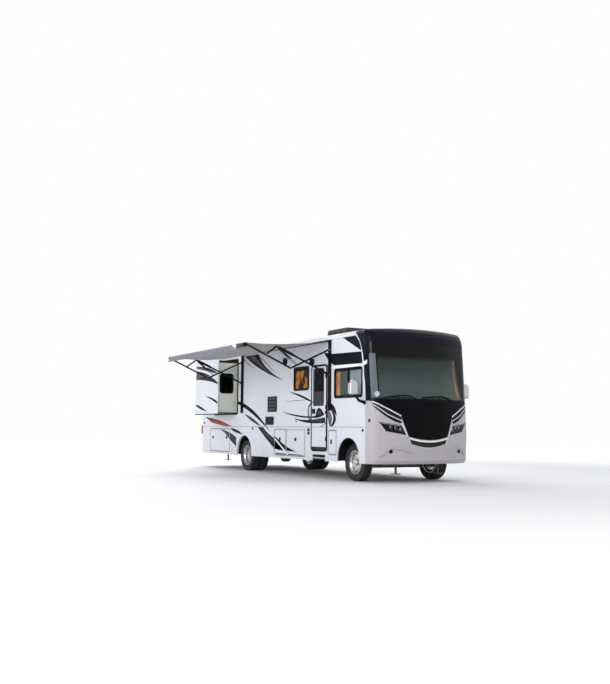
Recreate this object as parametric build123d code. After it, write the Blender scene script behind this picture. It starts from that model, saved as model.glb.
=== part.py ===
from build123d import *
import math
import os

# A gas motorhome with its patio awning rolled out and its rear kerb-side slide-out room extended.
# Millimetres. X points forward from the front axle, Y to the left, Z up from the ground.
# Every node is moved once at the end, so that the origin is under the middle of the whole model.

# Main sizes
WHEELBASE = 5283.0
HALF = 1282.5
REAR_X = -8240.0
SEAM_X = 630.0
SKIRT_Z = 400.0
BELT_Z = 1170.0
WALL_TOP_Z = 3190.0
EDGE_Z = 3262.0
CROWN_Z = 3312.0
WALL_T = 45.0
REAR_CORNER = 60.0
REAR_RETURN = 70.0
SKIRT_T = 25.0
ROOF_T = 70.0
CAP_T = 30.0
FIT = 0.3
INNER = HALF - WALL_T

# Floor and frame
FLOOR_Z = 1080.0
FLOOR_T = 75.0
JOIST_H = 100.0
JOIST_W = 50.0
RAIL_Y = 432.0
RAIL_H = 205.0
RAIL_FLANGE = 76.0
RAIL_T = 9.0
RAIL_FRONT_X = 1000.0
RAIL_REAR_X = -8120.0
JOIST_Z = FLOOR_Z - FLOOR_T - JOIST_H
RAIL_Z = JOIST_Z - RAIL_H

# Wheels
TYRE_R = 405.0
TYRE_W = 225.0
BEAD_R = 247.6
RIM_W = 171.0
RIM_LIP = 14.0
AXLE_Z = TYRE_R
FRONT_Y = 1008.0
REAR_OUTER_Y = 1088.0
DUAL_STEP = 260.0
REAR_INNER_Y = REAR_OUTER_Y - DUAL_STEP
SPINDLE_R = 30.0
HUB_R = 65.0
DISC_T = 12.0
HAND_HOLES = 8
HAND_HOLE_R = 22.0
HAND_HOLE_AT_R = 188.0
BRAKE_R = 185.0
DRUM_R = 205.0
REAR_SPINDLE_R = 45.0

# Wheel arches
ARCH_R = 450.0
ARCH_Z = 490.0
LINER_T = 6.0
LINER_IN_Y = 690.0
STEER_ROOM_R = 510.0

# Steering
KINGPIN_Y = 860.0
KINGPIN_R = 18.0
BOSS_R = 45.0
BOSS_H = 140.0
EAR_T = 34.0
ARM_X = -200.0
PIN_R = 9.0
PIN_GAP = 0.3

# Nose of the body: height and the x of its foremost point there
NOSE_RADIUS = 3200.0
NOSE_CORNER = 230.0
NOSE_BACK_X = 200.0
NOSE_SECTIONS = (
    # z, nose x
    (400.0, 1135.0),
    (475.0, 1195.0),
    (950.0, 1220.0),
    (1250.0, 1215.0),
    (1780.0, 1175.0),
    (3000.0, 1095.0),
    (3120.0, 1060.0),
    (3210.0, 1005.0),
    (3270.0, 930.0),
    (3330.0, 790.0),
)

# Windshield opening
SHIELD_Y = 1245.0
SHIELD_Z = (1780.0, 2990.0)
SHIELD_CORNER = 70.0
GLASS_T = 6.0
BLIND_T = 8.0
BLIND_LAP = 25.0

# Hood panel under the windshield: y and z of its right edge, top to bottom, then its low middle
HOOD_EDGE = ((1185.0, 1745.0), (690.0, 1452.0), (640.0, 1290.0), (515.0, 975.0))
HOOD_LOW_Z = 905.0
HOOD_T = 12.0

# Lower grille, a wide smile: corners and middles
SMILE_TOP = (512.0, 962.0, 888.0)
SMILE_LOW = (450.0, 822.0, 748.0)
SMILE_BAR = 30.0
GRILLE_T = 12.0
GRILLE_DEPTH = 10.0

# Headlamps: y and z of the four corners on one side
LAMP_CORNERS = ((1150.0, 1282.0), (690.0, 1222.0), (562.0, 1010.0), (1010.0, 1086.0))
LAMP_DEPTH = 85.0
LENS_T = 4.0
LAMP_BOWLS = ((905.0, 1185.0, 42.0), (800.0, 1168.0, 42.0), (690.0, 1135.0, 46.0))
FOG_Y = 900.0
FOG_Z = 665.0
FOG_R = 40.0

# Doors and windows in the right wall: front x, rear x, low z, high z
ENTRY = (-950.0, -1600.0, 650.0, 2570.0)
ENTRY_GAP = 8.0
ENTRY_WINDOW = (-1060.0, -1520.0, 1710.0, 2510.0)
STEP_HOLE = (-985.0, -1565.0, 400.0, 540.0)
CAB_WINDOW = (560.0, -580.0, 1820.0, 2460.0)
HOUSE_WINDOW = (-1750.0, -2490.0, 2050.0, 2600.0)
LEFT_WINDOWS = ((-1500.0, -2700.0, 1900.0, 2600.0), (-6300.0, -7100.0, 2050.0, 2600.0))
WINDOW_CORNER = 60.0
FRAME_LIP = 22.0
FRAME_PROUD = 8.0
PANE_T = 6.0

# Slide-out room
SLIDE = (-5770.0, -7320.0, 1540.0, 2980.0)
SLIDE_OUT = 570.0
SLIDE_T = 45.0
SLIDE_GAP = 20.0
SLIDE_LIP = 25.0
SLIDE_LIP_T = 20.0
SLIDE_STOP = 40.0
SLIDE_CLEAR = 5.0
SLIDE_WINDOW_Y = (1420.0, 1800.0)
SLIDE_WINDOW_Z = (2090.0, 2610.0)
RACK_Z = (1800.0, 2720.0)
RACK_H = 40.0
RACK_T = 8.0

# Awning
AWNING_X = (-750.0, -5400.0)
CHANNEL_W = 56.0
CHANNEL_D = 58.0
CHANNEL_T = 4.0
CHANNEL_Z = (1540.0, 3110.0)
AWNING_LINKS = {
    # joint: distance out from the wall, height
    "top": (58.0, 2915.0),
    "low": (58.0, 2350.0),
    "elbow": (1035.0, 2455.0),
    "upper": (1385.0, 2925.0),
    "middle": (1642.0, 2735.0),
    "tube": (2130.0, 2930.0),
    "strut": (874.0, 2531.0),
}
ARM_W = 20.0
ARM_H = 38.0
ARM_STEP = 12.0
ARM_PIN_R = 8.0
STRUT_STEP = 36.0
STRUT_ROD_R = 6.0
STRUT_BODY_R = 13.0
SLEEVE_H = 60.0
AWNING_TUBE_R = 44.0
AWNING_RAIL_Z = 3150.0
AWNING_RAIL_D = 26.0
CLOTH_T = 4.0
VALANCE_H = 190.0

# Outside lockers: body side, front x, rear x, low z, high z
LOCKERS = {
    "baggage_door_right_a": (-1, -1930.0, -2850.0, 470.0, 1110.0),
    "baggage_door_right_b": (-1, -2900.0, -3500.0, 470.0, 1110.0),
    "baggage_door_right_c": (-1, -6230.0, -7600.0, 470.0, 1110.0),
    "baggage_door_left_a": (1, -1500.0, -3300.0, 470.0, 1110.0),
    "baggage_door_left_b": (1, -6230.0, -7600.0, 470.0, 1110.0),
}
SERVICE = (-500.0, -840.0, 550.0, 1100.0)
DOOR_GAP = 8.0
HINGE_OUT = 10.0
HINGE_R = 4.0
HINGE_WALL = 3.0
HINGE_LEN = 60.0
HINGE_LEAF = 3.0
HINGE_CHEEK = 8.0

# Storage bays behind those doors: side, front x, rear x
BAYS = (
    (-1, -1900.0, -3530.0),
    (-1, -6200.0, -7630.0),
    (1, -1470.0, -3330.0),
    (1, -6200.0, -7630.0),
)
BAY_LOW_Z = 450.0
BAY_IN_Y = 480.0
BAY_T = 15.0
BAY_SPLIT_X = -2875.0


def block(x0, x1, y0, y1, z0, z1):
    """A box between two corners, given in any order."""
    size = (abs(x1 - x0), abs(y1 - y0), abs(z1 - z0))
    return Pos((x0 + x1) / 2, (y0 + y1) / 2, (z0 + z1) / 2) * Box(*size)


def side_plate(x0, x1, z0, z1, y0, y1, radius=0.0):
    """A plate that faces left and right, with rounded corners."""
    outline = (RectangleRounded(abs(x1 - x0), abs(z1 - z0), radius) if radius
               else Rectangle(abs(x1 - x0), abs(z1 - z0)))
    plane = Plane(origin=((x0 + x1) / 2, min(y0, y1), (z0 + z1) / 2), x_dir=(1, 0, 0), z_dir=(0, -1, 0))
    return extrude(plane * outline, amount=-abs(y1 - y0))


def front_plate(y0, y1, z0, z1, x0, x1, radius=0.0):
    """A plate that faces forward and back, with rounded corners."""
    outline = (RectangleRounded(abs(y1 - y0), abs(z1 - z0), radius) if radius
               else Rectangle(abs(y1 - y0), abs(z1 - z0)))
    plane = Plane(origin=(min(x0, x1), (y0 + y1) / 2, (z0 + z1) / 2), x_dir=(0, 1, 0), z_dir=(1, 0, 0))
    return extrude(plane * outline, amount=abs(x1 - x0))


def rod(start, end, radius):
    """A round bar between two points."""
    start = Vector(*start)
    end = Vector(*end)
    plane = Plane(origin=start, z_dir=end - start)
    return extrude(plane * Circle(radius), amount=(end - start).length)


def yz_prism(edges, x0, x1):
    """A closed outline of edges in the YZ plane, drawn at x0 and run to x1."""
    face = Face(Wire(edges))
    return extrude(face, amount=x1 - x0, dir=(1, 0, 0))


def mirrored(shape):
    """The same piece on the other side of the vehicle."""
    return mirror(shape, about=Plane.XZ)


# Sections and skins of the nose

def plan_outline(z, nose_x, inset):
    """One level section of the nose: straight sides, round corners and a crowned front."""
    half = HALF - inset
    corner = NOSE_CORNER - inset
    front = NOSE_RADIUS - inset
    centre_x = nose_x - NOSE_RADIUS
    corner_y = HALF - NOSE_CORNER
    reach = math.sqrt((front - corner) ** 2 - corner_y ** 2)
    corner_x = centre_x + reach
    lean = math.atan2(corner_y, reach)
    touch = (centre_x + front * math.cos(lean), front * math.sin(lean))
    half_lean = (math.pi / 2 + lean) / 2
    middle = (corner_x + corner * math.cos(half_lean), corner_y + corner * math.sin(half_lean))
    back = NOSE_BACK_X

    def at(x, y):
        return Vector(x, y, z)

    edges = [
        Edge.make_line(at(back, -half), at(corner_x, -half)),
        Edge.make_three_point_arc(at(corner_x, -half), at(middle[0], -middle[1]), at(touch[0], -touch[1])),
        Edge.make_three_point_arc(at(touch[0], -touch[1]), at(centre_x + front, 0), at(touch[0], touch[1])),
        Edge.make_three_point_arc(at(touch[0], touch[1]), at(middle[0], middle[1]), at(corner_x, half)),
        Edge.make_line(at(corner_x, half), at(back, half)),
        Edge.make_line(at(back, half), at(back, -half)),
    ]
    return Wire(edges)


def nose_solid(inset):
    """The whole nose, drawn in by an inset all round."""
    return Solid.make_loft([plan_outline(z, x, inset) for z, x in NOSE_SECTIONS], True)


def roof_edges(half, low_z, x, edge_z=EDGE_Z, crown_z=CROWN_Z, side_z=WALL_TOP_Z + 15):
    """Cross-section with upright sides, rounded roof edges and a crowned top."""
    shoulder = half - 55.0
    knuckle = half - 15.0

    def at(y, z):
        return Vector(x, y, z)

    return [
        Edge.make_line(at(-half, low_z), at(-half, side_z)),
        Edge.make_three_point_arc(at(-half, side_z), at(-knuckle, (side_z + edge_z) / 2 + 10), at(-shoulder, edge_z)),
        Edge.make_three_point_arc(at(-shoulder, edge_z), at(0, crown_z), at(shoulder, edge_z)),
        Edge.make_three_point_arc(at(shoulder, edge_z), at(knuckle, (side_z + edge_z) / 2 + 10), at(half, side_z)),
        Edge.make_line(at(half, side_z), at(half, low_z)),
        Edge.make_line(at(half, low_z), at(-half, low_z)),
    ]


def nose_skin(outer, inner):
    """The layer of the nose between two insets; a negative inset stands proud."""
    return nose_solid(outer) - nose_solid(inner)



def front_prism(corners, x0=SEAM_X + 60, x1=SEAM_X + 800):
    """A straight-sided hole or plug along X, from corners in y and z."""
    points = [Vector(x0, y, z) for y, z in corners]
    edges = [Edge.make_line(a, b) for a, b in zip(points, points[1:] + points[:1])]
    return yz_prism(edges, x0, x1)


def inset_corners(corners, gap):
    """A convex outline drawn in towards its middle by about a gap."""
    mid_y = sum(y for y, z in corners) / len(corners)
    mid_z = sum(z for y, z in corners) / len(corners)
    moved = []
    for y, z in corners:
        reach = math.hypot(y - mid_y, z - mid_z)
        share = 1 - 2 * gap / reach
        moved.append((mid_y + (y - mid_y) * share, mid_z + (z - mid_z) * share))
    return moved


def hood_prism(gap):
    x0 = SEAM_X + 60
    x1 = SEAM_X + 800
    (top_y, top_z), (next_y, next_z) = HOOD_EDGE[:2]
    run = (top_y - next_y) / (top_z - next_z)
    right = [(-top_y + gap + gap * run, top_z - gap)] + [(-y + gap, z) for y, z in HOOD_EDGE[1:]]
    left = [(-y, z) for y, z in reversed(right)]

    def at(point):
        return Vector(x0, point[0], point[1])

    low = (0.0, HOOD_LOW_Z + gap)
    low_right = (right[-1][0], right[-1][1] + gap)
    low_left = (left[0][0], left[0][1] + gap)
    chain = right[:-1] + [low_right]
    edges = [Edge.make_line(at(a), at(b)) for a, b in zip(chain, chain[1:])]
    edges.append(Edge.make_three_point_arc(at(low_right), at(low), at(low_left)))
    chain = [low_left] + left[1:]
    edges += [Edge.make_line(at(a), at(b)) for a, b in zip(chain, chain[1:])]
    edges.append(Edge.make_line(at(left[-1]), at(right[0])))
    return yz_prism(edges, x0, x1)


def smile_prism(gap, top_extra=0.0, low_cut=None):
    """The crescent of the lower grille, drawn in by a gap."""
    x0 = SEAM_X + 60
    x1 = SEAM_X + 800
    top_y, top_z, top_mid = SMILE_TOP
    low_y, low_z, low_mid = SMILE_LOW if low_cut is None else (top_y, top_z - low_cut, top_mid - low_cut)
    top_z += top_extra
    top_mid += top_extra

    def at(y, z):
        return Vector(x0, y, z)

    a = at(-top_y + gap, top_z - gap)
    b = at(top_y - gap, top_z - gap)
    c = at(low_y - gap, low_z + gap)
    d = at(-low_y + gap, low_z + gap)
    edges = [
        Edge.make_three_point_arc(a, at(0, top_mid - gap), b),
        Edge.make_line(b, c),
        Edge.make_three_point_arc(c, at(0, low_mid + gap), d),
        Edge.make_line(d, a),
    ]
    return yz_prism(edges, x0, x1)


def shield_prism(gap):
    return front_plate(-SHIELD_Y + gap, SHIELD_Y - gap, SHIELD_Z[0] + gap, SHIELD_Z[1] - gap,
                       SEAM_X + 60, SEAM_X + 800, SHIELD_CORNER - gap)


def lamp_prisms(gap):
    corners = inset_corners(LAMP_CORNERS, gap)
    left = front_prism(corners)
    right = front_prism([(-y, z) for y, z in reversed(corners)])
    return [right, left]


def make_front_cap():
    tunnel = yz_prism(roof_edges(HALF, SKIRT_Z - 50, SEAM_X), SEAM_X, SEAM_X + 900)
    cavity = block(SEAM_X - 50, SEAM_X + 900, -INNER, INNER, SKIRT_Z - 50, WALL_TOP_Z)
    cap = (nose_solid(0) & tunnel) - (nose_solid(CAP_T) & cavity)
    cap -= block(SEAM_X - 10, SEAM_X + WALL_T, -INNER, INNER, SKIRT_Z - 50, WALL_TOP_Z)
    cap -= shield_prism(0)
    cap -= smile_prism(0)
    for prism in lamp_prisms(0):
        cap -= prism
    for side in (-1, 1):
        cap -= rod((SEAM_X + 200, side * FOG_Y, FOG_Z), (SEAM_X + 800, side * FOG_Y, FOG_Z), FOG_R)
    cap -= nose_skin(-5, HOOD_T + FIT) & hood_prism(0)
    return cap


def make_hood():
    return nose_skin(0, HOOD_T) & hood_prism(4)


def make_windshield():
    return nose_skin(0, GLASS_T) & shield_prism(FIT)


def make_grille():
    insert = nose_skin(GRILLE_DEPTH, GRILLE_DEPTH + GRILLE_T) & smile_prism(FIT)
    top_y, top_z, top_mid = SMILE_TOP
    for i in range(-5, 6):
        y = i * 80.0
        drop = (top_z - top_mid) * (1 - (y / top_y) ** 2)
        z_top = top_z - drop - SMILE_BAR - 14
        for k in range(3):
            z = z_top - k * 28
            insert -= front_plate(y - 34, y + 34, z - 16, z, SEAM_X + 300, SEAM_X + 800, 6)
    bar = nose_skin(-8, CAP_T) & smile_prism(FIT, low_cut=SMILE_BAR) & smile_prism(FIT)
    return insert + bar


def make_lamp_housings():
    shell = nose_skin(LENS_T + FIT, LAMP_DEPTH)
    pieces = []
    for side, prism in zip((-1, 1), lamp_prisms(1.0)):
        piece = shell & prism
        for y, z, radius in LAMP_BOWLS:
            front = plan_x(y, z)
            piece -= rod((front - 55, side * y, z), (front + 60, side * y, z), radius)
            piece += rod((front - 60, side * y, z), (front - 34, side * y, z), radius * 0.55)
        pieces.append(piece)
    for side in (-1, 1):
        front = plan_x(FOG_Y, FOG_Z)
        cup = rod((front - 60, side * FOG_Y, FOG_Z), (front + 40, side * FOG_Y, FOG_Z), FOG_R - FIT)
        cup -= rod((front - 45, side * FOG_Y, FOG_Z), (front + 60, side * FOG_Y, FOG_Z), FOG_R - 6)
        pieces.append(cup & nose_solid(0))
    return pieces


def make_lamp_lenses():
    skin = nose_skin(0, LENS_T)
    pieces = [skin & prism for prism in lamp_prisms(FIT)]
    for side in (-1, 1):
        front = plan_x(FOG_Y, FOG_Z)
        pieces.append(rod((front - 30, side * FOG_Y, FOG_Z), (front - 22, side * FOG_Y, FOG_Z), FOG_R - 6 - FIT))
    lamp = side_plate(REAR_X - 12, REAR_X + 60, 960, 1210, HALF - 150, HALF + 12, 20)
    lamp -= block(REAR_X - FIT, REAR_X + 100, HALF - 200, HALF + FIT, 900, 1300)
    pieces.append(lamp)
    pieces.append(mirrored(lamp))
    return pieces


def plan_x(y, z):
    """The x of the nose's outer face at a place across it, off the round corners."""
    rows = NOSE_SECTIONS
    for (z0, x0), (z1, x1) in zip(rows, rows[1:]):
        if z0 <= z <= z1:
            nose_x = x0 + (x1 - x0) * (z - z0) / (z1 - z0)
    return nose_x - NOSE_RADIUS + math.sqrt(NOSE_RADIUS ** 2 - y ** 2)


# Body shell

def arch_hole(x, radius, y0, y1):
    """A wheel arch: a half round on upright sides, open at the bottom."""
    hole = rod((x, y0, ARCH_Z), (x, y1, ARCH_Z), radius)
    return hole + block(x - radius, x + radius, y0, y1, SKIRT_Z - 60, ARCH_Z)


def arch_liner(side, x, radius):
    """The wheel box behind the skirt, open inward and downward."""
    y0 = side * (HALF - SKIRT_T)
    y1 = side * LINER_IN_Y
    outer = arch_hole(x, radius, y0, y1)
    inner = arch_hole(x, radius - LINER_T, y0 + side * 10, y1 - side * 10)
    liner = outer - inner
    liner -= block(x - 2 * radius, x + 2 * radius, y0 + side * 10, y1 - side * 10, -radius, SKIRT_Z + 20)
    return liner


def make_skirt(side):
    y0 = side * HALF
    y1 = side * (HALF - SKIRT_T)
    skirt = side_plate(REAR_X + REAR_RETURN, SEAM_X, SKIRT_Z, BELT_Z, y0, y1)
    for x in (0.0, -WHEELBASE):
        skirt -= arch_hole(x, ARCH_R, side * (HALF + 20), side * (HALF - 80))
    for door_side, x0, x1, z0, z1 in LOCKERS.values():
        if door_side == side:
            skirt -= side_plate(x1, x0, z0, z1, y0 + side * 20, y1 - side * 20, 20)
    if side < 0:
        skirt -= side_plate(SERVICE[1], SERVICE[0], SERVICE[2], SERVICE[3], y0 - 20, y1 + 20, 20)
        skirt -= block(ENTRY[1], ENTRY[0], y0 - 20, y1 + 20, ENTRY[2], BELT_Z + 20)
        skirt -= side_plate(STEP_HOLE[1], STEP_HOLE[0], STEP_HOLE[2] - 40, STEP_HOLE[3], y0 - 20, y1 + 20)
    skirt += arch_liner(side, 0.0, STEER_ROOM_R)
    skirt += arch_liner(side, -WHEELBASE, ARCH_R + LINER_T)
    for door_side, x0, x1, z0, z1 in LOCKERS.values():
        if door_side == side:
            for x in (x0 - 180, x1 + 180):
                skirt += top_hinge(side, x, z1)[0]
    if side < 0:
        for z in (SERVICE[2] + 110, SERVICE[3] - 110):
            skirt += side_hinge(side, SERVICE[0], z)[0]
    return skirt


def top_hinge(side, x, z):
    """A lift-up door's hinge on the outer face: the fixed pin with its plates, then the door's barrel."""
    axis_y = side * (HALF + HINGE_OUT)
    barrel_r = HINGE_R + PIN_GAP + HINGE_WALL
    half = HINGE_LEN / 2
    fixed = rod((x - half - HINGE_CHEEK - 1, axis_y, z), (x + half + HINGE_CHEEK + 1, axis_y, z), HINGE_R)
    for end in (-1, 1):
        x0 = x + end * (half + 1)
        x1 = x0 + end * HINGE_CHEEK
        fixed += block(x0, x1, side * HALF, axis_y + side * HINGE_R, z - HINGE_R, z + 30)
    moving = rod((x - half, axis_y, z), (x + half, axis_y, z), barrel_r)
    moving += block(x - half, x + half, side * (HALF + HINGE_OUT - barrel_r), side * (HALF + HINGE_OUT - barrel_r + HINGE_LEAF),
                    z - 45, z)
    moving += block(x - half, x + half, side * HALF, side * (HALF + HINGE_OUT - barrel_r + HINGE_LEAF), z - 45, z - 20)
    moving -= rod((x - half - 1, axis_y, z), (x + half + 1, axis_y, z), HINGE_R + PIN_GAP)
    return fixed, moving


def side_hinge(side, x, z):
    """A swinging door's hinge on the outer face, at the door's front edge."""
    axis_y = side * (HALF + HINGE_OUT)
    barrel_r = HINGE_R + PIN_GAP + HINGE_WALL
    half = HINGE_LEN / 2
    fixed = rod((x, axis_y, z - half - HINGE_CHEEK - 1), (x, axis_y, z + half + HINGE_CHEEK + 1), HINGE_R)
    for end in (-1, 1):
        z0 = z + end * (half + 1)
        z1 = z0 + end * HINGE_CHEEK
        fixed += block(x - HINGE_R, x + 30, side * HALF, axis_y + side * HINGE_R, z0, z1)
    moving = rod((x, axis_y, z - half), (x, axis_y, z + half), barrel_r)
    moving += block(x - 45, x, side * (HALF + HINGE_OUT - barrel_r), side * (HALF + HINGE_OUT - barrel_r + HINGE_LEAF),
                    z - half, z + half)
    moving += block(x - 45, x - 20, side * HALF, side * (HALF + HINGE_OUT - barrel_r + HINGE_LEAF), z - half, z + half)
    moving -= rod((x, axis_y, z - half - 1), (x, axis_y, z + half + 1), HINGE_R + PIN_GAP)
    return fixed, moving


def make_right_wall():
    y0 = -HALF
    y1 = -INNER
    wall = side_plate(REAR_X + REAR_RETURN, SEAM_X, BELT_Z, WALL_TOP_Z, y0, y1)
    wall -= block(ENTRY[1], ENTRY[0], y0 - 20, y1 + 20, BELT_Z - 20, ENTRY[3])
    for x0, x1, z0, z1 in (CAB_WINDOW, HOUSE_WINDOW):
        wall -= side_plate(x1, x0, z0, z1, y0 - 20, y1 + 20, WINDOW_CORNER)
    gap = SLIDE_GAP
    wall -= block(SLIDE[1] - gap, SLIDE[0] + gap, y0 - 20, y1 + 20, SLIDE[2] - gap, SLIDE[3] + gap)
    for end in (0, 1):
        way = 1 if end == 0 else -1
        edge = SLIDE[end] + way * gap
        face = SLIDE[end] + way * SLIDE_CLEAR
        column = block(edge, face, y0, y1, SLIDE[2] - gap, SLIDE[3] + gap)
        for z in RACK_Z:
            slot = RACK_H / 2 + FIT
            column -= block(edge - way * 8, face - way * 20, y0 - 20, y1 + 20, z - slot, z + slot)
        wall += column
    for z in (ENTRY[3] - 200, 1500.0):
        wall += side_hinge(-1, ENTRY[0], z)[0]
    return wall


def make_left_wall():
    wall = side_plate(REAR_X + REAR_RETURN, SEAM_X, BELT_Z, WALL_TOP_Z, HALF, INNER)
    for x0, x1, z0, z1 in (CAB_WINDOW,) + LEFT_WINDOWS:
        wall -= side_plate(x1, x0, z0, z1, HALF + 20, INNER - 20, WINDOW_CORNER)
    return wall


def make_rear_wall():
    """The moulded rear: one panel with round upright corners that return along the sides."""
    height = WALL_TOP_Z - SKIRT_Z
    depth = 400.0
    outer = Pos(REAR_X + depth / 2, 0, SKIRT_Z) * extrude(
        RectangleRounded(depth, 2 * HALF, REAR_CORNER), amount=height)
    inner = Pos(REAR_X + WALL_T + depth / 2, 0, SKIRT_Z) * extrude(
        RectangleRounded(depth, 2 * HALF - 2 * WALL_T, REAR_CORNER - WALL_T), amount=height)
    wall = outer - inner
    wall -= block(REAR_X - 10, REAR_X + WALL_T + 10, -RECEIVER_OUT, RECEIVER_OUT, SKIRT_Z - 10, RECEIVER_Z + RECEIVER_OUT)
    return wall - block(REAR_X + REAR_RETURN, REAR_X + 1000, -HALF - 50, HALF + 50, 0, WALL_TOP_Z + 100)


def make_roof():
    """A crowned roof with rounded edges that sits on the tops of the walls."""
    roof = yz_prism(roof_edges(HALF, WALL_TOP_Z, REAR_X), REAR_X, SEAM_X)
    x0 = REAR_X + WALL_T

    def at(y, z):
        return Vector(x0, y, z)

    vault = [
        Edge.make_three_point_arc(at(-INNER, WALL_TOP_Z), at(0, CROWN_Z - ROOF_T), at(INNER, WALL_TOP_Z)),
        Edge.make_line(at(INNER, WALL_TOP_Z), at(-INNER, WALL_TOP_Z)),
    ]
    return roof - yz_prism(vault, x0, SEAM_X + 10)


def make_floor():
    floor = block(REAR_X + WALL_T, SEAM_X + WALL_T, -INNER, INNER, FLOOR_Z - FLOOR_T, FLOOR_Z)
    floor = fillet(floor.edges().filter_by(Axis.Z).group_by(Axis.X)[0], REAR_CORNER - WALL_T + 1)
    floor -= block(ENTRY[1] + 5, ENTRY[0] - 5, -INNER - 50, -690, FLOOR_Z - 200, FLOOR_Z + 50)
    cover = block(-560, 420, -340, 340, FLOOR_Z - FLOOR_T, FLOOR_Z + 130)
    cover -= block(-545, 405, -325, 325, FLOOR_Z - FLOOR_T - 10, FLOOR_Z + 115)
    floor -= block(-560, 420, -340, 340, FLOOR_Z - 200, FLOOR_Z + 10)
    return floor + cover


JOISTS_X = (580.0, -580.0, -880.0, -1680.0, -2480.0, -3280.0, -4080.0, -4760.0, -5800.0, -6600.0, -7400.0, -8080.0)
CROSS_X = (880.0, -2900.0, -4100.0, -6020.0, -7900.0)


def make_frame():
    rail = block(RAIL_REAR_X, RAIL_FRONT_X, RAIL_Y - RAIL_FLANGE, RAIL_Y, RAIL_Z, RAIL_Z + RAIL_H)
    rail -= block(RAIL_REAR_X - 10, RAIL_FRONT_X + 10, RAIL_Y - RAIL_FLANGE - 10, RAIL_Y - RAIL_T,
                  RAIL_Z + RAIL_T, RAIL_Z + RAIL_H - RAIL_T)
    frame = rail + mirrored(rail)
    for x in JOISTS_X:
        frame += block(x - JOIST_W / 2, x + JOIST_W / 2, -INNER, INNER, JOIST_Z, JOIST_Z + JOIST_H)
    for x in CROSS_X:
        frame += block(x - 35, x + 35, -RAIL_Y + RAIL_T, RAIL_Y - RAIL_T, RAIL_Z + 40, RAIL_Z + RAIL_H - 40)
    frame += block(RAIL_FRONT_X, RAIL_FRONT_X + 60, -620, 620, RAIL_Z - 150, RAIL_Z + 40)
    for side in (-1, 1):
        frame += block(RAIL_FRONT_X - 80, RAIL_FRONT_X, side * (RAIL_Y - RAIL_FLANGE), side * RAIL_Y, RAIL_Z - 150,
                       RAIL_Z + 10)
        for x, y in SPRING_HANGERS:
            low = SPRING_EYE_Z + SPRING_EYE_R + FIT
            frame += block(x - 35, x + 35, side * (RAIL_Y - RAIL_FLANGE), side * (y + 40), low, RAIL_Z + 60)
        for x, y in JACKS:
            frame += block(x - 60, x + 60, side * (RAIL_Y - 5), side * (y + 50), RAIL_Z + 20, RAIL_Z + 140)
            frame += rod((x, side * y, JACK_Z[2]), (x, side * y, RAIL_Z + 120), JACK_CASE_R)
            frame += rod((x, side * y, JACK_Z[1]), (x, side * y, JACK_Z[2] + 10), JACK_RAM_R)
            frame += rod((x, side * y, JACK_Z[0]), (x, side * y, JACK_Z[1]), JACK_FOOT_R)
    return frame


SPRING_EYE_Z = RAIL_Z - 70.0
SPRING_EYE_R = 25.0
SPRING_W = 70.0
SPRING_HALF = 620.0
SPRING_LEAF = 14.0
SPRING_LEAVES = 4
FRONT_SPRING_Y = RAIL_Y - 35.0
REAR_SPRING_Y = 540.0
SPRING_BASE_Z = 478.0
SPRING_HANGERS = (
    # x, y of the spring
    (-SPRING_HALF, FRONT_SPRING_Y),
    (SPRING_HALF, FRONT_SPRING_Y),
    (-WHEELBASE - SPRING_HALF, REAR_SPRING_Y),
    (-WHEELBASE + SPRING_HALF, REAR_SPRING_Y),
)
JACKS = ((760.0, 560.0), (-7900.0, 560.0))
JACK_CASE_R = 42.0
JACK_RAM_R = 26.0
JACK_FOOT_R = 110.0
JACK_Z = (175.0, 190.0, 420.0)


def make_spring(x, y):
    """A pack of curved leaves with rolled eyes, clamped flat at its middle."""
    pack = None
    rise = SPRING_EYE_Z - SPRING_BASE_Z
    for i in range(SPRING_LEAVES):
        half = SPRING_HALF * (1 - 0.2 * i)
        base = SPRING_BASE_Z + SPRING_LEAF * (SPRING_LEAVES - i)
        lift = rise * (half / SPRING_HALF) ** 2 - SPRING_LEAF * SPRING_LEAVES * (half / SPRING_HALF) ** 2

        def at(px, pz):
            return Vector(x + px, y - SPRING_W / 2, pz)

        edges = [
            Edge.make_three_point_arc(at(-half, base + lift), at(0, base), at(half, base + lift)),
            Edge.make_line(at(half, base + lift), at(half, base + lift - SPRING_LEAF)),
            Edge.make_three_point_arc(at(half, base + lift - SPRING_LEAF), at(0, base - SPRING_LEAF),
                                      at(-half, base + lift - SPRING_LEAF)),
            Edge.make_line(at(-half, base + lift - SPRING_LEAF), at(-half, base + lift)),
        ]
        leaf = extrude(Face(Wire(edges)), amount=SPRING_W, dir=(0, 1, 0))
        pack = leaf if pack is None else pack + leaf
    for end in (-1, 1):
        px = x + end * SPRING_HALF
        pack += rod((px, y - SPRING_W / 2, SPRING_EYE_Z), (px, y + SPRING_W / 2, SPRING_EYE_Z), SPRING_EYE_R)
    top = SPRING_BASE_Z + SPRING_LEAF * SPRING_LEAVES + 14
    pack += block(x - 75, x + 75, y - 48, y + 48, SPRING_BASE_Z - 2, top)
    return pack


def make_springs():
    pieces = []
    for side in (-1, 1):
        pieces.append(make_spring(0.0, side * FRONT_SPRING_Y))
        pieces.append(make_spring(-WHEELBASE, side * REAR_SPRING_Y))
    return pieces


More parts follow.
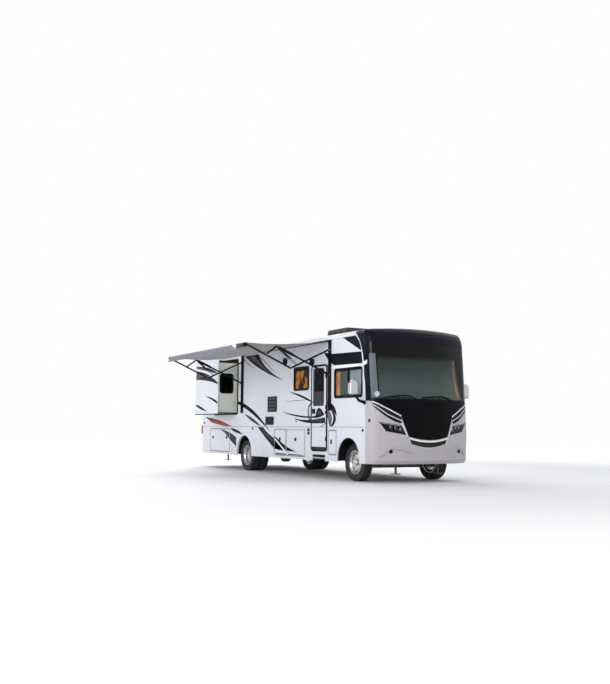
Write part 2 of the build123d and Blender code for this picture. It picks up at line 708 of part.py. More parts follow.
def make_front_axle():
    """A dropped I-beam with a kingpin boss at each end and a pad under each spring."""
    low = AXLE_Z - 75.0
    depth = 90.0
    outline = (
        (-KINGPIN_Y, AXLE_Z), (-700.0, AXLE_Z), (-560.0, low), (560.0, low), (700.0, AXLE_Z), (KINGPIN_Y, AXLE_Z),
    )
    top = [Vector(-40, y, z + depth / 2) for y, z in outline]
    bottom = [Vector(-40, y, z - depth / 2) for y, z in reversed(outline)]
    points = top + bottom
    edges = [Edge.make_line(a, b) for a, b in zip(points, points[1:] + points[:1])]
    beam = yz_prism(edges, -40, 40)
    web = depth / 2 - 16
    top = [Vector(16, y, z + web) for y, z in outline[1:-1]]
    bottom = [Vector(16, y, z - web) for y, z in reversed(outline[1:-1])]
    points = top + bottom
    edges = [Edge.make_line(a, b) for a, b in zip(points, points[1:] + points[:1])]
    pocket = yz_prism(edges, 16, 60)
    beam -= pocket
    beam -= mirror(pocket, about=Plane.YZ)
    for side in (-1, 1):
        y = side * KINGPIN_Y
        beam += rod((0, y, AXLE_Z - BOSS_H / 2), (0, y, AXLE_Z + BOSS_H / 2), BOSS_R)
        beam -= rod((0, y, AXLE_Z - BOSS_H), (0, y, AXLE_Z + BOSS_H), KINGPIN_R + PIN_GAP)
        pad = side * FRONT_SPRING_Y
        beam += block(-75, 75, pad - 48, pad + 48, low, SPRING_BASE_Z - 2)
    return beam


def make_knuckle(side):
    """Ears round the kingpin boss, the kingpin, the wheel spindle and the steering arm."""
    y = side * KINGPIN_Y
    plate = side * (KINGPIN_Y + BOSS_R + 8)
    far = side * (KINGPIN_Y + BOSS_R + 34)
    top = AXLE_Z + BOSS_H / 2 + 1
    low = AXLE_Z - BOSS_H / 2 - 1
    knuckle = block(-70, 70, plate, far, low - EAR_T, top + EAR_T)
    for z0, z1 in ((top, top + EAR_T), (low - EAR_T, low)):
        knuckle += rod((0, y, z0), (0, y, z1), BOSS_R)
        knuckle += block(-BOSS_R, BOSS_R, y, plate, z0, z1)
    knuckle += rod((0, y, low - EAR_T), (0, y, top + EAR_T), KINGPIN_R)
    knuckle += rod((0, far, AXLE_Z), (0, side * (FRONT_Y + 60), AXLE_Z), SPINDLE_R)
    knuckle += rod((0, far, AXLE_Z), (0, far + side * 6, AXLE_Z), SPINDLE_R + 14)
    arm_z = low - EAR_T
    knuckle += block(ARM_X, -20, y - 20, y + 20, arm_z, arm_z + 24)
    knuckle += rod((ARM_X, y, arm_z), (ARM_X, y, arm_z + 24), 24)
    knuckle += rod((ARM_X, y, arm_z - 40), (ARM_X, y, arm_z), PIN_R)
    return knuckle


ARM_Z = AXLE_Z - BOSS_H / 2 - 1 - EAR_T


def make_tie_rod():
    z0 = ARM_Z - 31
    z1 = ARM_Z - 1
    mid = (z0 + z1) / 2
    piece = rod((ARM_X, -KINGPIN_Y, mid), (ARM_X, KINGPIN_Y, mid), 14)
    for side in (-1, 1):
        piece += rod((ARM_X, side * KINGPIN_Y, z0), (ARM_X, side * KINGPIN_Y, z1), 24)
    for side in (-1, 1):
        piece -= rod((ARM_X, side * KINGPIN_Y, z0 - 10), (ARM_X, side * KINGPIN_Y, z1 + 10), PIN_R + PIN_GAP)
    return piece


def make_rear_axle():
    x = -WHEELBASE
    axle = rod((x, -REAR_INNER_Y + 140, AXLE_Z), (x, REAR_INNER_Y - 140, AXLE_Z), 62)
    for side in (-1, 1):
        axle += rod((x, side * (REAR_INNER_Y - 140), AXLE_Z), (x, side * (REAR_OUTER_Y + 40), AXLE_Z), REAR_SPINDLE_R)
        axle += block(x - 75, x + 75, side * REAR_SPRING_Y - 48, side * REAR_SPRING_Y + 48, AXLE_Z, SPRING_BASE_Z - 2)
    bowl = Pos(x, 0, AXLE_Z) * Rot(90, 0, 0) * Cylinder(185, 150)
    cone = Pos(x, 0, AXLE_Z) * Rot(90, 0, 0) * Cylinder(120, 260)
    axle += bowl + cone
    nose = (x + 330, 0, AXLE_Z + 18)
    axle += rod((x, 0, AXLE_Z), nose, 70)
    axle += rod(nose, (SHAFT_FRONT[0] - 8, 0, SHAFT_FRONT[2]), 45)
    axle += rod(SHAFT_FRONT, (SHAFT_FRONT[0] - 14, 0, SHAFT_FRONT[2]), 60)
    return axle


SHAFT_FRONT = (-1250.0, 0.0, 700.0)


ENGINE_REAR_X = -500.0
GEARBOX_REAR_X = -1250.0


def make_engine():
    engine = block(ENGINE_REAR_X, 380, -290, 290, 540, 1040)
    engine += block(GEARBOX_REAR_X, ENGINE_REAR_X, -180, 180, 590, 860)
    for side in (-1, 1):
        engine += block(-160, 40, side * 290, side * (RAIL_Y - RAIL_T), RAIL_Z + 40, RAIL_Z + 100)
    return engine


def make_fuel_tank():
    tank = block(-7750, -6120, -330, 330, RAIL_Z - 230, RAIL_Z - 10)
    tank = fillet(tank.edges().filter_by(Axis.X), 45)
    for x in (-7400.0, -6500.0):
        tank += block(x - 25, x + 25, -RAIL_Y, RAIL_Y, RAIL_Z - 12, RAIL_Z)
    return tank


EXHAUST_R = 32.0
EXHAUST_Y = 240.0
EXHAUST_Z = 600.0


def make_exhaust():
    """A pipe with a silencer, hung from the right rail, that leaves under the rear."""
    pipe_y = -EXHAUST_Y
    pipe = rod((ENGINE_REAR_X, pipe_y, EXHAUST_Z), (-4500, pipe_y, EXHAUST_Z), EXHAUST_R)
    pipe += rod((-2600, pipe_y, EXHAUST_Z), (-3700, pipe_y, EXHAUST_Z), 110)
    for x in (-1500.0, -4300.0):
        pipe += block(x - 12, x + 12, pipe_y - 12, pipe_y + 12, EXHAUST_Z, RAIL_Z + 20)
        pipe += block(x - 12, x + 12, -RAIL_Y + RAIL_T, pipe_y + 12, RAIL_Z + RAIL_T, RAIL_Z + RAIL_T + 20)
    return pipe


# Doors

def make_locker(side, x0, x1, z0, z1):
    """A lift-up baggage door with a turned-in rim, a sunk latch and two hinge barrels."""
    gap = DOOR_GAP
    door = side_plate(x1 + gap, x0 - gap, z0 + gap, z1 - gap, side * HALF, side * (HALF - SKIRT_T), 18)
    door -= side_plate(x1 + 40, x0 - 40, z0 + 40, z1 - 40, side * (HALF - 8), side * (HALF - SKIRT_T - 5), 10)
    latches = 2 if x0 - x1 > 1200 else 1
    for i in range(latches):
        mid = x0 + (x1 - x0) * (i + 1) / (latches + 1) if latches == 1 else x0 - 210 + i * (x1 - x0 + 420)
        door += side_plate(mid - 45, mid + 45, z0 + 360, z0 + 440, side * HALF, side * (HALF + 8), 12)
    for x in (x0 - 180, x1 + 180):
        door += top_hinge(side, x, z1)[1]
    return door


def make_service_door():
    gap = DOOR_GAP
    door = side_plate(SERVICE[1] + gap, SERVICE[0] - gap, SERVICE[2] + gap, SERVICE[3] - gap, -HALF, -HALF + SKIRT_T, 18)
    door += side_plate(-740, -680, 790, 890, -HALF, -HALF - 8, 12)
    for z in (SERVICE[2] + 110, SERVICE[3] - 110):
        door += side_hinge(-1, SERVICE[0], z)[1]
    return door


def make_entry_door():
    gap = ENTRY_GAP
    door = side_plate(ENTRY[1] + gap, ENTRY[0] - gap, ENTRY[2] + gap, ENTRY[3] - gap, -HALF, -INNER, 40)
    door -= side_plate(ENTRY_WINDOW[1], ENTRY_WINDOW[0], ENTRY_WINDOW[2], ENTRY_WINDOW[3], -HALF - 20, -INNER + 20, 60)
    door += side_plate(-1570, -1480, 1480, 1590, -HALF, -HALF - 10, 14)
    door += block(-1560, -1490, -HALF - 10, -HALF - 38, 1528, 1546)
    for z in (ENTRY[3] - 200, 1500.0):
        door += side_hinge(-1, ENTRY[0], z)[1]
    return door


def make_entry_pane():
    return side_plate(ENTRY_WINDOW[1] + FIT, ENTRY_WINDOW[0] - FIT, ENTRY_WINDOW[2] + FIT, ENTRY_WINDOW[3] - FIT,
                      -HALF + 10, -HALF + 10 + PANE_T, 60 - FIT)


def make_stairwell():
    x0 = ENTRY[1] + 5
    x1 = ENTRY[0] - 5
    y0 = -INNER + 5
    y1 = -690.0
    well = block(x0, x1, y0, y1, 540, FLOOR_Z)
    well -= block(x0 + 12, x1 - 12, y0 - 20, y1 - 12, 870, FLOOR_Z + 10)
    well -= block(x0 + 12, x1 - 12, y0 - 20, -970, 660, FLOOR_Z + 10)
    well -= block(x0 + 12, x1 - 12, -INNER + 20, y1 - 12, 530, 648)
    well -= block(x0 + 12, x1 - 12, -958, y1 - 12, 530, 858)
    box_x0 = STEP_HOLE[1] + 10
    box_x1 = STEP_HOLE[0] - 10
    well += block(box_x0, box_x1, -INNER + 10, -900, 430, 540)
    well -= block(box_x0 + 10, box_x1 - 10, -INNER - 20, -910, 440, 526)
    well += block(box_x0 + 30, box_x1 - 30, -INNER + 10, -905, 440, 462)
    return well


# Windows

def window_parts(side, window, split=False):
    x0, x1, z0, z1 = window
    lip = FRAME_LIP
    radius = WINDOW_CORNER
    y_out = side * (HALF + FRAME_PROUD)
    flange = side_plate(x1 - 14, x0 + 14, z0 - 14, z1 + 14, side * HALF, y_out, radius + 14)
    sleeve = side_plate(x1 + FIT, x0 - FIT, z0 + FIT, z1 - FIT, side * HALF, side * INNER, radius - FIT)
    frame = flange + sleeve
    holes = [(x1 + lip, x0 - lip)]
    if split:
        mid = (x0 + x1) / 2
        holes = [(x1 + lip, mid - 14), (mid + 14, x0 - lip)]
    panes = []
    for a, b in holes:
        frame -= side_plate(a, b, z0 + lip, z1 - lip, y_out + side * 20, side * (INNER - 20), radius - lip)
        panes.append(side_plate(a + FIT, b - FIT, z0 + lip + FIT, z1 - lip - FIT, side * (HALF - 6),
                                side * (HALF - 6 - PANE_T), radius - lip - FIT))
    return frame, panes


def make_windows():
    frames = []
    panes = []
    rows = [(-1, CAB_WINDOW, True), (-1, HOUSE_WINDOW, False), (1, CAB_WINDOW, True)]
    rows += [(1, window, True) for window in LEFT_WINDOWS]
    for side, window, split in rows:
        frame, glass = window_parts(side, window, split)
        frames.append(frame)
        panes += glass
    return frames, panes


def make_shades():
    """The blind drawn behind the windshield, seated round its opening on the inner face of the nose."""
    blind = nose_skin(CAP_T + FIT, CAP_T + FIT + BLIND_T) & shield_prism(-BLIND_LAP)
    return blind & block(SEAM_X + WALL_T + FIT, SEAM_X + 800, -INNER + FIT, INNER - FIT, 0, WALL_TOP_Z - FIT)


# Slide-out room

def make_slide_room():
    x0, x1, z0, z1 = SLIDE
    out_y = -HALF - SLIDE_OUT
    in_y = -INNER + SLIDE_CLEAR + SLIDE_LIP_T
    room = block(x1, x0, out_y, in_y, z0, z1)
    room -= block(x1 + SLIDE_T, x0 - SLIDE_T, out_y + SLIDE_T, in_y + 20, z0 + SLIDE_T, z1 - SLIDE_T)
    room += side_plate(x1 - SLIDE_LIP, x0 + SLIDE_LIP, z0 - SLIDE_LIP, z1 + SLIDE_LIP, out_y, out_y - SLIDE_LIP_T, 15)
    stop = block(x1 - SLIDE_STOP, x0 + SLIDE_STOP, in_y - SLIDE_LIP_T, in_y, z0 - SLIDE_STOP, z1 + SLIDE_STOP)
    stop -= block(x1 + 5, x0 - 5, in_y - SLIDE_LIP_T - 10, in_y + 10, z0 + 5, z1 - 5)
    room += stop
    for z in RACK_Z:
        room += block(x0, x0 + RACK_T, out_y, in_y - SLIDE_LIP_T, z - RACK_H / 2, z + RACK_H / 2)
        room += block(x1, x1 - RACK_T, out_y, in_y - SLIDE_LIP_T, z - RACK_H / 2, z + RACK_H / 2)
    room -= front_plate(-SLIDE_WINDOW_Y[0], -SLIDE_WINDOW_Y[1], SLIDE_WINDOW_Z[0], SLIDE_WINDOW_Z[1],
                        x0 - SLIDE_T - 20, x0 + 20, 60)
    return room


def make_slide_pane():
    x0 = SLIDE[0]
    return front_plate(-SLIDE_WINDOW_Y[0] - FIT, -SLIDE_WINDOW_Y[1] + FIT, SLIDE_WINDOW_Z[0] + FIT,
                       SLIDE_WINDOW_Z[1] - FIT, x0 - 16, x0 - 10, 60 - FIT)


# Awning

def link_point(name, x):
    out, z = AWNING_LINKS[name]
    return (x, -HALF - out, z)


def share_point(x, start, end, share):
    """A point part of the way from one link point to another."""
    a = Vector(*link_point(start, x))
    b = Vector(*link_point(end, x))
    return tuple(a + (b - a) * share)


def arm(x, start, end, height=ARM_H, span=(0.0, 1.0)):
    """A flat bar with round ends along a share of the line between two link points."""
    _, y0, z0 = share_point(x, start, end, span[0])
    _, y1, z1 = share_point(x, start, end, span[1])
    length = math.hypot(y1 - y0, z1 - z0)
    angle = math.degrees(math.atan2(z1 - z0, y1 - y0))
    plane = Plane(origin=(x - ARM_W / 2, (y0 + y1) / 2, (z0 + z1) / 2), x_dir=(0, 1, 0), z_dir=(1, 0, 0))
    return extrude(plane * Rot(0, 0, angle) * SlotCenterToCenter(length, height), amount=ARM_W)


def gas_strut(x):
    """A gas spring between the upper joint and the lower link."""
    strut = rod(link_point("upper", x), link_point("strut", x), STRUT_ROD_R)
    return strut + rod(share_point(x, "upper", "strut", 0.08), share_point(x, "upper", "strut", 0.66), STRUT_BODY_R)


def make_awning_frame():
    pieces = None
    for x in AWNING_X:
        channel = block(x - CHANNEL_W / 2, x + CHANNEL_W / 2, -HALF, -HALF - CHANNEL_D, CHANNEL_Z[0], CHANNEL_Z[1])
        channel -= block(x - CHANNEL_W / 2 + CHANNEL_T, x + CHANNEL_W / 2 - CHANNEL_T, -HALF - CHANNEL_T,
                         -HALF - CHANNEL_D - 10, CHANNEL_Z[0] - 10, CHANNEL_Z[1] + 10)
        for name in ("top", "low"):
            y, z = link_point(name, x)[1:]
            for end in (-1, 1):
                ear = x + end * CHANNEL_W / 2
                channel += block(ear, ear - end * CHANNEL_T, -HALF, y - 22, z - 22, z + 22)
        pieces = channel if pieces is None else pieces + channel
    pieces += block(AWNING_X[1] - 40, AWNING_X[0] + 40, -HALF, -HALF - AWNING_RAIL_D, AWNING_RAIL_Z - 40,
                    AWNING_RAIL_Z)
    return pieces


def make_awning_arms():
    sets = []
    for x in AWNING_X:
        near = x - ARM_STEP
        far = x + ARM_STEP
        links = arm(near, "top", "elbow") + arm(far, "low", "upper") + arm(far, "elbow", "tube")
        links += arm(near, "upper", "middle") + arm(far, "low", "upper", SLEEVE_H, (0.70, 0.94))
        links += gas_strut(x - STRUT_STEP) + gas_strut(x + STRUT_STEP)
        for name in ("upper", "strut"):
            links += rod(link_point(name, x - STRUT_STEP - 8), link_point(name, x + STRUT_STEP + 8), ARM_PIN_R)
        for name in ("elbow", "upper", "middle"):
            y, z = link_point(name, x)[1:]
            links += rod((near - 14, y, z), (far + 14, y, z), ARM_PIN_R)
        for name in ("top", "low"):
            y, z = link_point(name, x)[1:]
            inner = CHANNEL_W / 2 - CHANNEL_T - FIT
            links += rod((x - inner, y, z), (x + inner, y, z), ARM_PIN_R)
        sets.append(links)
    return sets


def make_awning_tube():
    x0 = AWNING_X[0] - ARM_STEP - ARM_W / 2 - 6
    x1 = AWNING_X[1] + ARM_STEP + ARM_W / 2 + 6
    y, z = link_point("tube", x0)[1:]
    tube = rod((x0, y, z), (x1, y, z), AWNING_TUBE_R)
    tube += rod((x0, y, z), (x0 + 6 - FIT, y, z), 18)
    tube += rod((x1, y, z), (x1 - 6 + FIT, y, z), 18)
    return tube


def make_awning_fabric():
    """The rolled-out cloth, from the rail on the body to the tube, with its hanging edge."""
    x0 = AWNING_X[0] - 45
    x1 = AWNING_X[1] + 45
    _, tube_y, tube_z = link_point("tube", x0)
    start = (-HALF - AWNING_RAIL_D, AWNING_RAIL_Z - 20)

    def at(y, z):
        return Vector(x1, y, z)

    def layer(reach):
        """Where the cloth meets the tube, half way round, and where it hangs free, at a distance from its axis."""
        far = math.hypot(start[0] - tube_y, start[1] - tube_z)
        angle = math.atan2(start[1] - tube_z, start[0] - tube_y) + math.acos(reach / far)
        half_way = (angle + math.pi) / 2
        return (at(tube_y + reach * math.cos(angle), tube_z + reach * math.sin(angle)),
                at(tube_y + reach * math.cos(half_way), tube_z + reach * math.sin(half_way)),
                at(tube_y - reach, tube_z), angle)

    inner = AWNING_TUBE_R + FIT
    meet, middle, free, angle = layer(inner)
    outer_meet, outer_middle, outer_free = layer(inner + CLOTH_T)[:3]
    lift = CLOTH_T / math.sin(angle)
    edges = [
        Edge.make_line(at(*start), meet),
        Edge.make_three_point_arc(meet, middle, free),
        Edge.make_line(free, free - Vector(0, 0, VALANCE_H)),
        Edge.make_line(free - Vector(0, 0, VALANCE_H), outer_free - Vector(0, 0, VALANCE_H)),
        Edge.make_line(outer_free - Vector(0, 0, VALANCE_H), outer_free),
        Edge.make_three_point_arc(outer_free, outer_middle, outer_meet),
        Edge.make_line(outer_meet, at(start[0], start[1] + lift)),
        Edge.make_line(at(start[0], start[1] + lift), at(*start)),
    ]
    return yz_prism(edges, x1, x0)


# Roof, rear and sides

def make_roof_units():
    units = []
    unit = Pos(-2080, 0, CROWN_Z - 30) * extrude(RectangleRounded(1050, 720, 120), amount=300, taper=9)
    unit -= yz_prism(roof_edges(HALF, WALL_TOP_Z - 100, -4000), -4000, 0)
    units.append(unit)
    for x, y in ((-4300.0, 0.0), (-6900.0, 0.0)):
        vent = block(x - 200, x + 200, y - 200, y + 200, CROWN_Z - 40, CROWN_Z + 70)
        vent -= yz_prism(roof_edges(HALF, WALL_TOP_Z - 100, -8000), -8000, 0)
        units.append(vent)
    return units


def make_ladder():
    x_rail = REAR_X - 75
    ladder = None
    for y in (620.0, 980.0):
        rail = rod((x_rail, y, 760), (x_rail, y, 3230), 12)
        for z in (800.0, 1900.0, 3000.0):
            rail += rod((x_rail, y, z), (REAR_X, y, z), 10)
        ladder = rail if ladder is None else ladder + rail
    for i in range(8):
        z = 860 + i * 300
        ladder += rod((x_rail, 620, z), (x_rail, 980, z), 11)
    return ladder


RECEIVER_IN = 50.8
RECEIVER_OUT = 63.5
RECEIVER_Z = 470.0
RECEIVER_X = -8290.0
HITCH_PIN_R = 8.0


def make_rear_bumper():
    beam = block(REAR_X + 60, REAR_X + 130, -700, 700, 430, 520)
    tube = block(RECEIVER_X, REAR_X + 100, -RECEIVER_OUT / 2, RECEIVER_OUT / 2, RECEIVER_Z - RECEIVER_OUT / 2,
                 RECEIVER_Z + RECEIVER_OUT / 2)
    beam += tube
    beam += block(REAR_X + 130, RAIL_REAR_X + 20, -RAIL_Y, -RAIL_Y + 60, 470, RAIL_Z)
    beam += block(REAR_X + 130, RAIL_REAR_X + 20, RAIL_Y - 60, RAIL_Y, 470, RAIL_Z)
    beam -= block(RECEIVER_X - 10, REAR_X + 200, -RECEIVER_IN / 2, RECEIVER_IN / 2, RECEIVER_Z - RECEIVER_IN / 2,
                  RECEIVER_Z + RECEIVER_IN / 2)
    beam -= rod((RECEIVER_X + 25, -100, RECEIVER_Z), (RECEIVER_X + 25, 100, RECEIVER_Z), HITCH_PIN_R)
    return beam


def make_side_vents():
    pieces = []
    vent = side_plate(-3880, -3380, 1550, 1940, -HALF, -HALF - 16, 20)
    for i in range(4):
        z = 1590 + i * 88
        vent -= block(-3840, -3420, -HALF - 6, -HALF - 30, z, z + 50)
    pieces.append(vent)
    lower = side_plate(-3990, -3550, 1220, 1430, -HALF, -HALF - 16, 16)
    pieces.append(lower)
    for x, z in ((-2930.0, 2790.0), (-1580.0, 2685.0)):
        speaker = rod((x, -HALF, z), (x, -HALF - 45, z), 85)
        pieces.append(speaker)
    return pieces


MIRROR_AT = (560.0, -1505.0, 2010.0)
MIRROR_SIZE = (110.0, 210.0, 330.0)
MIRROR_CROWN_R = 92.0
MIRROR_FOOT_R = 44.0
MIRROR_NOSE_R = 36.0


def make_mirrors():
    """Two domed heads, flat at the back with a seat for the glass, on jointed arms."""
    head = Pos(*MIRROR_AT) * Box(*MIRROR_SIZE)
    head = fillet(head.edges().filter_by(Axis.X).group_by(Axis.Z)[-1], MIRROR_CROWN_R)
    head = fillet(head.edges().filter_by(Axis.X).group_by(Axis.Z)[0], MIRROR_FOOT_R)
    head = fillet(head.faces().sort_by(Axis.X)[-1].edges(), MIRROR_NOSE_R)
    back = MIRROR_AT[0] - MIRROR_SIZE[0] / 2
    seat = front_plate(MIRROR_AT[1] - 90, MIRROR_AT[1] + 90, MIRROR_AT[2] - 150, MIRROR_AT[2] + 150, back - 5,
                       back + 3, 40)
    head -= seat
    neck = block(640, 700, -HALF, -HALF - 20, 1650, 1730)
    neck += rod((670, -HALF - 16, 1690), (610, -1400, 1735), 18)
    neck += Pos(610, -1400, 1735) * Sphere(27)
    neck += rod((610, -1400, 1735), (565, -1490, 1870), 18)
    mirror_set = head + neck
    return [mirror_set, mirrored(mirror_set)]


def make_wipers():
    pieces = []
    layer = nose_skin(-14, -FIT)
    for y0, y1, pivot in ((-1060.0, -380.0, -420.0), (-160.0, 690.0, -120.0)):
        blade = layer & front_plate(y0, y1, 1796, 1812, SEAM_X + 200, SEAM_X + 700)
        x = plan_x(pivot, 1760.0)
        blade += rod((x - 2, pivot, 1762), (x + 24, pivot, 1762), 14)
        blade += rod((x + 12, pivot, 1762), (x + 6, pivot + (40 if pivot > -200 else -60), 1802), 7)
        pieces.append(blade - nose_solid(-FIT))
    return pieces


def make_basement():
    trays = []
    for side, x0, x1 in BAYS:
        y0 = side * (HALF - SKIRT_T)
        y1 = side * BAY_IN_Y
        tray = block(x1, x0, y0, y1, BAY_LOW_Z, JOIST_Z)
        inner_y = y1 + side * BAY_T
        if x1 < BAY_SPLIT_X < x0 and side < 0:
            spans = ((x1 + BAY_T, BAY_SPLIT_X - BAY_T / 2), (BAY_SPLIT_X + BAY_T / 2, x0 - BAY_T))
        else:
            spans = ((x1 + BAY_T, x0 - BAY_T),)
        for a, b in spans:
            tray -= block(a, b, y0 + side * 20, inner_y, BAY_LOW_Z + BAY_T, JOIST_Z + 20)
        trays.append(tray)
    return trays


# Wheels

def make_tyre(y):
    """A road tyre: rounded shoulders and a flat tread, open inside."""
    half = TYRE_W / 2
    bead = RIM_W / 2 - FIT
    inner_r = BEAD_R + FIT
    lip_r = BEAD_R + RIM_LIP + FIT
    tread = half - 22
    profile = [
        (-bead, inner_r), (-bead, lip_r), (-half, (inner_r + TYRE_R) / 2), (-tread, TYRE_R - 6),
        (-tread + 14, TYRE_R), (tread - 14, TYRE_R), (tread, TYRE_R - 6), (half, (inner_r + TYRE_R) / 2),
        (bead, lip_r), (bead, inner_r), (bead - 18, inner_r), (half - 18, (inner_r + TYRE_R) / 2),
        (tread - 14, TYRE_R - 24), (-tread + 14, TYRE_R - 24), (-half + 18, (inner_r + TYRE_R) / 2),
        (-bead + 18, inner_r),
    ]
    face = make_face(Polyline([(py, pr) for py, pr in profile], close=True))
    return spin(face, y)


def spin(face, y):
    """Turn a profile drawn as (across, radius) about the wheel's axle line at a place across the vehicle."""
    plane = Plane(origin=(0, y, 0), x_dir=(0, 1, 0), z_dir=(-1, 0, 0))
    return revolve(plane * face, axis=Axis((0, 0, 0), (0, 1, 0)))


def make_barrel(y):
    """The drop-centre barrel of a steel wheel with its two lips."""
    half = RIM_W / 2
    lip = BEAD_R + RIM_LIP
    barrel = [
        (-half - 8, lip), (-half - 8, BEAD_R - 6), (-half + 22, BEAD_R - 8), (-half + 40, BEAD_R - 26),
        (half - 40, BEAD_R - 26), (half - 22, BEAD_R - 8), (half + 8, BEAD_R - 6), (half + 8, lip),
        (half, lip), (half, BEAD_R), (half - 26, BEAD_R), (half - 44, BEAD_R - 18),
        (-half + 44, BEAD_R - 18), (-half + 26, BEAD_R), (-half, BEAD_R), (-half, lip),
    ]
    return spin(make_face(Polyline(barrel, close=True)), y)


def make_disc(y, way, reach):
    """A wheel disc: flat at the hub, coned over by a reach to the barrel, with round hand holes."""
    outer_r = BEAD_R - 20
    disc = [
        (0, 20), (0, 160), (way * reach, outer_r), (way * (reach + 18), outer_r), (way * DISC_T, 158),
        (way * DISC_T, 20),
    ]
    solid = spin(make_face(Polyline(disc, close=True)), y)
    for i in range(HAND_HOLES):
        angle = 2 * math.pi * i / HAND_HOLES
        x = HAND_HOLE_AT_R * math.cos(angle)
        z = HAND_HOLE_AT_R * math.sin(angle)
        solid -= rod((x, y - 20, z), (x, y + way * (reach + 60), z), HAND_HOLE_R)
    return solid


def make_front_rim(side):
    """A front wheel: the disc is near the outer lip, and the hub with its brake disc lies inside."""
    y = side * FRONT_Y
    face = y + side * 45
    inner = side * (KINGPIN_Y + BOSS_R + 34 + 8)
    rim = make_barrel(y) + make_disc(face, -side, 12)
    rim += rod((0, inner, 0), (0, face + side * 62, 0), HUB_R)
    rim += rod((0, inner, 0), (0, inner + side * 26, 0), BRAKE_R)
    rim -= rod((0, inner - side * 10, 0), (0, y + side * 62, 0), SPINDLE_R + PIN_GAP)
    return rim


def make_rear_rims(side):
    """Twin rear wheels bolted back to back on one hub with its brake drum."""
    outer = side * REAR_OUTER_Y
    inner = side * REAR_INNER_Y
    joint = (outer + inner) / 2
    start = inner - side * 110
    rims = make_barrel(outer) + make_barrel(inner)
    rims += make_disc(joint, side, 90) + make_disc(joint, -side, 90)
    rims += rod((0, start, 0), (0, outer + side * 60, 0), HUB_R)
    rims += rod((0, start, 0), (0, start + side * 90, 0), DRUM_R)
    rims -= rod((0, start - side * 10, 0), (0, outer + side * 45, 0), REAR_SPINDLE_R + PIN_GAP)
    return rims


def place(shape, x):
    return Pos(x, 0, AXLE_Z) * shape


def make_wheels(nodes):
    for side, word in ((-1, "right"), (1, "left")):
        y = side * FRONT_Y
        nodes["front_tyre_" + word] = [place(make_tyre(y), 0)]
        nodes["front_rim_" + word] = [place(make_front_rim(side), 0)]
        outer_y = side * REAR_OUTER_Y
        inner_y = side * REAR_INNER_Y
        nodes["rear_tyres_" + word] = [place(make_tyre(outer_y), -WHEELBASE),
                                       place(make_tyre(inner_y), -WHEELBASE)]
        nodes["rear_rims_" + word] = [place(make_rear_rims(side), -WHEELBASE)]


def build():
    nodes = {}
    nodes["chassis_frame"] = [make_frame()]
    nodes["engine_block"] = [make_engine()]
    nodes["front_axle"] = [make_front_axle()]
    nodes["knuckle_right"] = [make_knuckle(-1)]
    nodes["knuckle_left"] = [make_knuckle(1)]
    nodes["tie_rod"] = [make_tie_rod()]
    nodes["rear_axle"] = [make_rear_axle()]
    nodes["leaf_springs"] = make_springs()
    nodes["fuel_tank"] = [make_fuel_tank()]
    nodes["exhaust"] = [make_exhaust()]
    nodes["floor"] = [make_floor()]
    nodes["basement"] = make_basement()
    nodes["right_wall"] = [make_right_wall()]
    nodes["left_wall"] = [make_left_wall()]
    nodes["right_skirt"] = [make_skirt(-1)]
    nodes["left_skirt"] = [make_skirt(1)]
    nodes["rear_wall"] = [make_rear_wall()]
    nodes["roof"] = [make_roof()]
    nodes["front_cap"] = [make_front_cap()]
    nodes["hood"] = [make_hood()]
    nodes["windshield"] = [make_windshield()]
    nodes["shades"] = [make_shades()]
    frames, panes = make_windows()
    nodes["window_frames"] = frames
    nodes["window_panes"] = panes
    nodes["grille"] = [make_grille()]
    nodes["lamp_housings"] = make_lamp_housings()
    nodes["lamp_lenses"] = make_lamp_lenses()
    nodes["wipers"] = make_wipers()
    nodes["mirrors"] = make_mirrors()
    nodes["stairwell"] = [make_stairwell()]
    nodes["entry_door"] = [make_entry_door()]
    nodes["entry_door_pane"] = [make_entry_pane()]
    nodes["slide_room"] = [make_slide_room()]
    nodes["slide_pane"] = [make_slide_pane()]
    nodes["awning_frame"] = [make_awning_frame()]
    nodes["awning_arms"] = make_awning_arms()
    nodes["awning_tube"] = [make_awning_tube()]
    nodes["awning_fabric"] = [make_awning_fabric()]
    nodes["roof_units"] = make_roof_units()
    nodes["ladder"] = [make_ladder()]
    nodes["rear_bumper"] = [make_rear_bumper()]
    nodes["side_vents"] = make_side_vents()
    nodes["service_door"] = [make_service_door()]
    for name, row in LOCKERS.items():
        nodes[name] = [make_locker(*row)]
    make_wheels(nodes)
    return nodes


def export(nodes):
    """Move everything over the middle of the model and write one file per node."""
    solids = {name: [s for shape in shapes for s in shape.solids()] for name, shapes in nodes.items()}
    boxes = [solid.bounding_box() for group in solids.values() for solid in group]
    mid_x = (min(b.min.X for b in boxes) + max(b.max.X for b in boxes)) / 2
    mid_y = (min(b.min.Y for b in boxes) + max(b.max.Y for b in boxes)) / 2
    os.makedirs("parts", exist_ok=True)
    for name, group in solids.items():
        moved = [Pos(-mid_x, -mid_y, 0) * solid for solid in group]
        shape = moved[0] if len(moved) == 1 else Compound(children=moved)
        export_step(shape, "parts/" + name + ".step")
    print("middle", round(mid_x, 3), round(mid_y, 3))


export(build())
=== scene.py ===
"""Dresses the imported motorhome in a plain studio: finishes, stripes, glass, cloth, lamps, tyres and trim."""
import random
from math import copysign, cos, exp, pi, radians, sin, tau

import bmesh
import bpy
from mathutils import Matrix, Vector
from mathutils.bvhtree import BVHTree


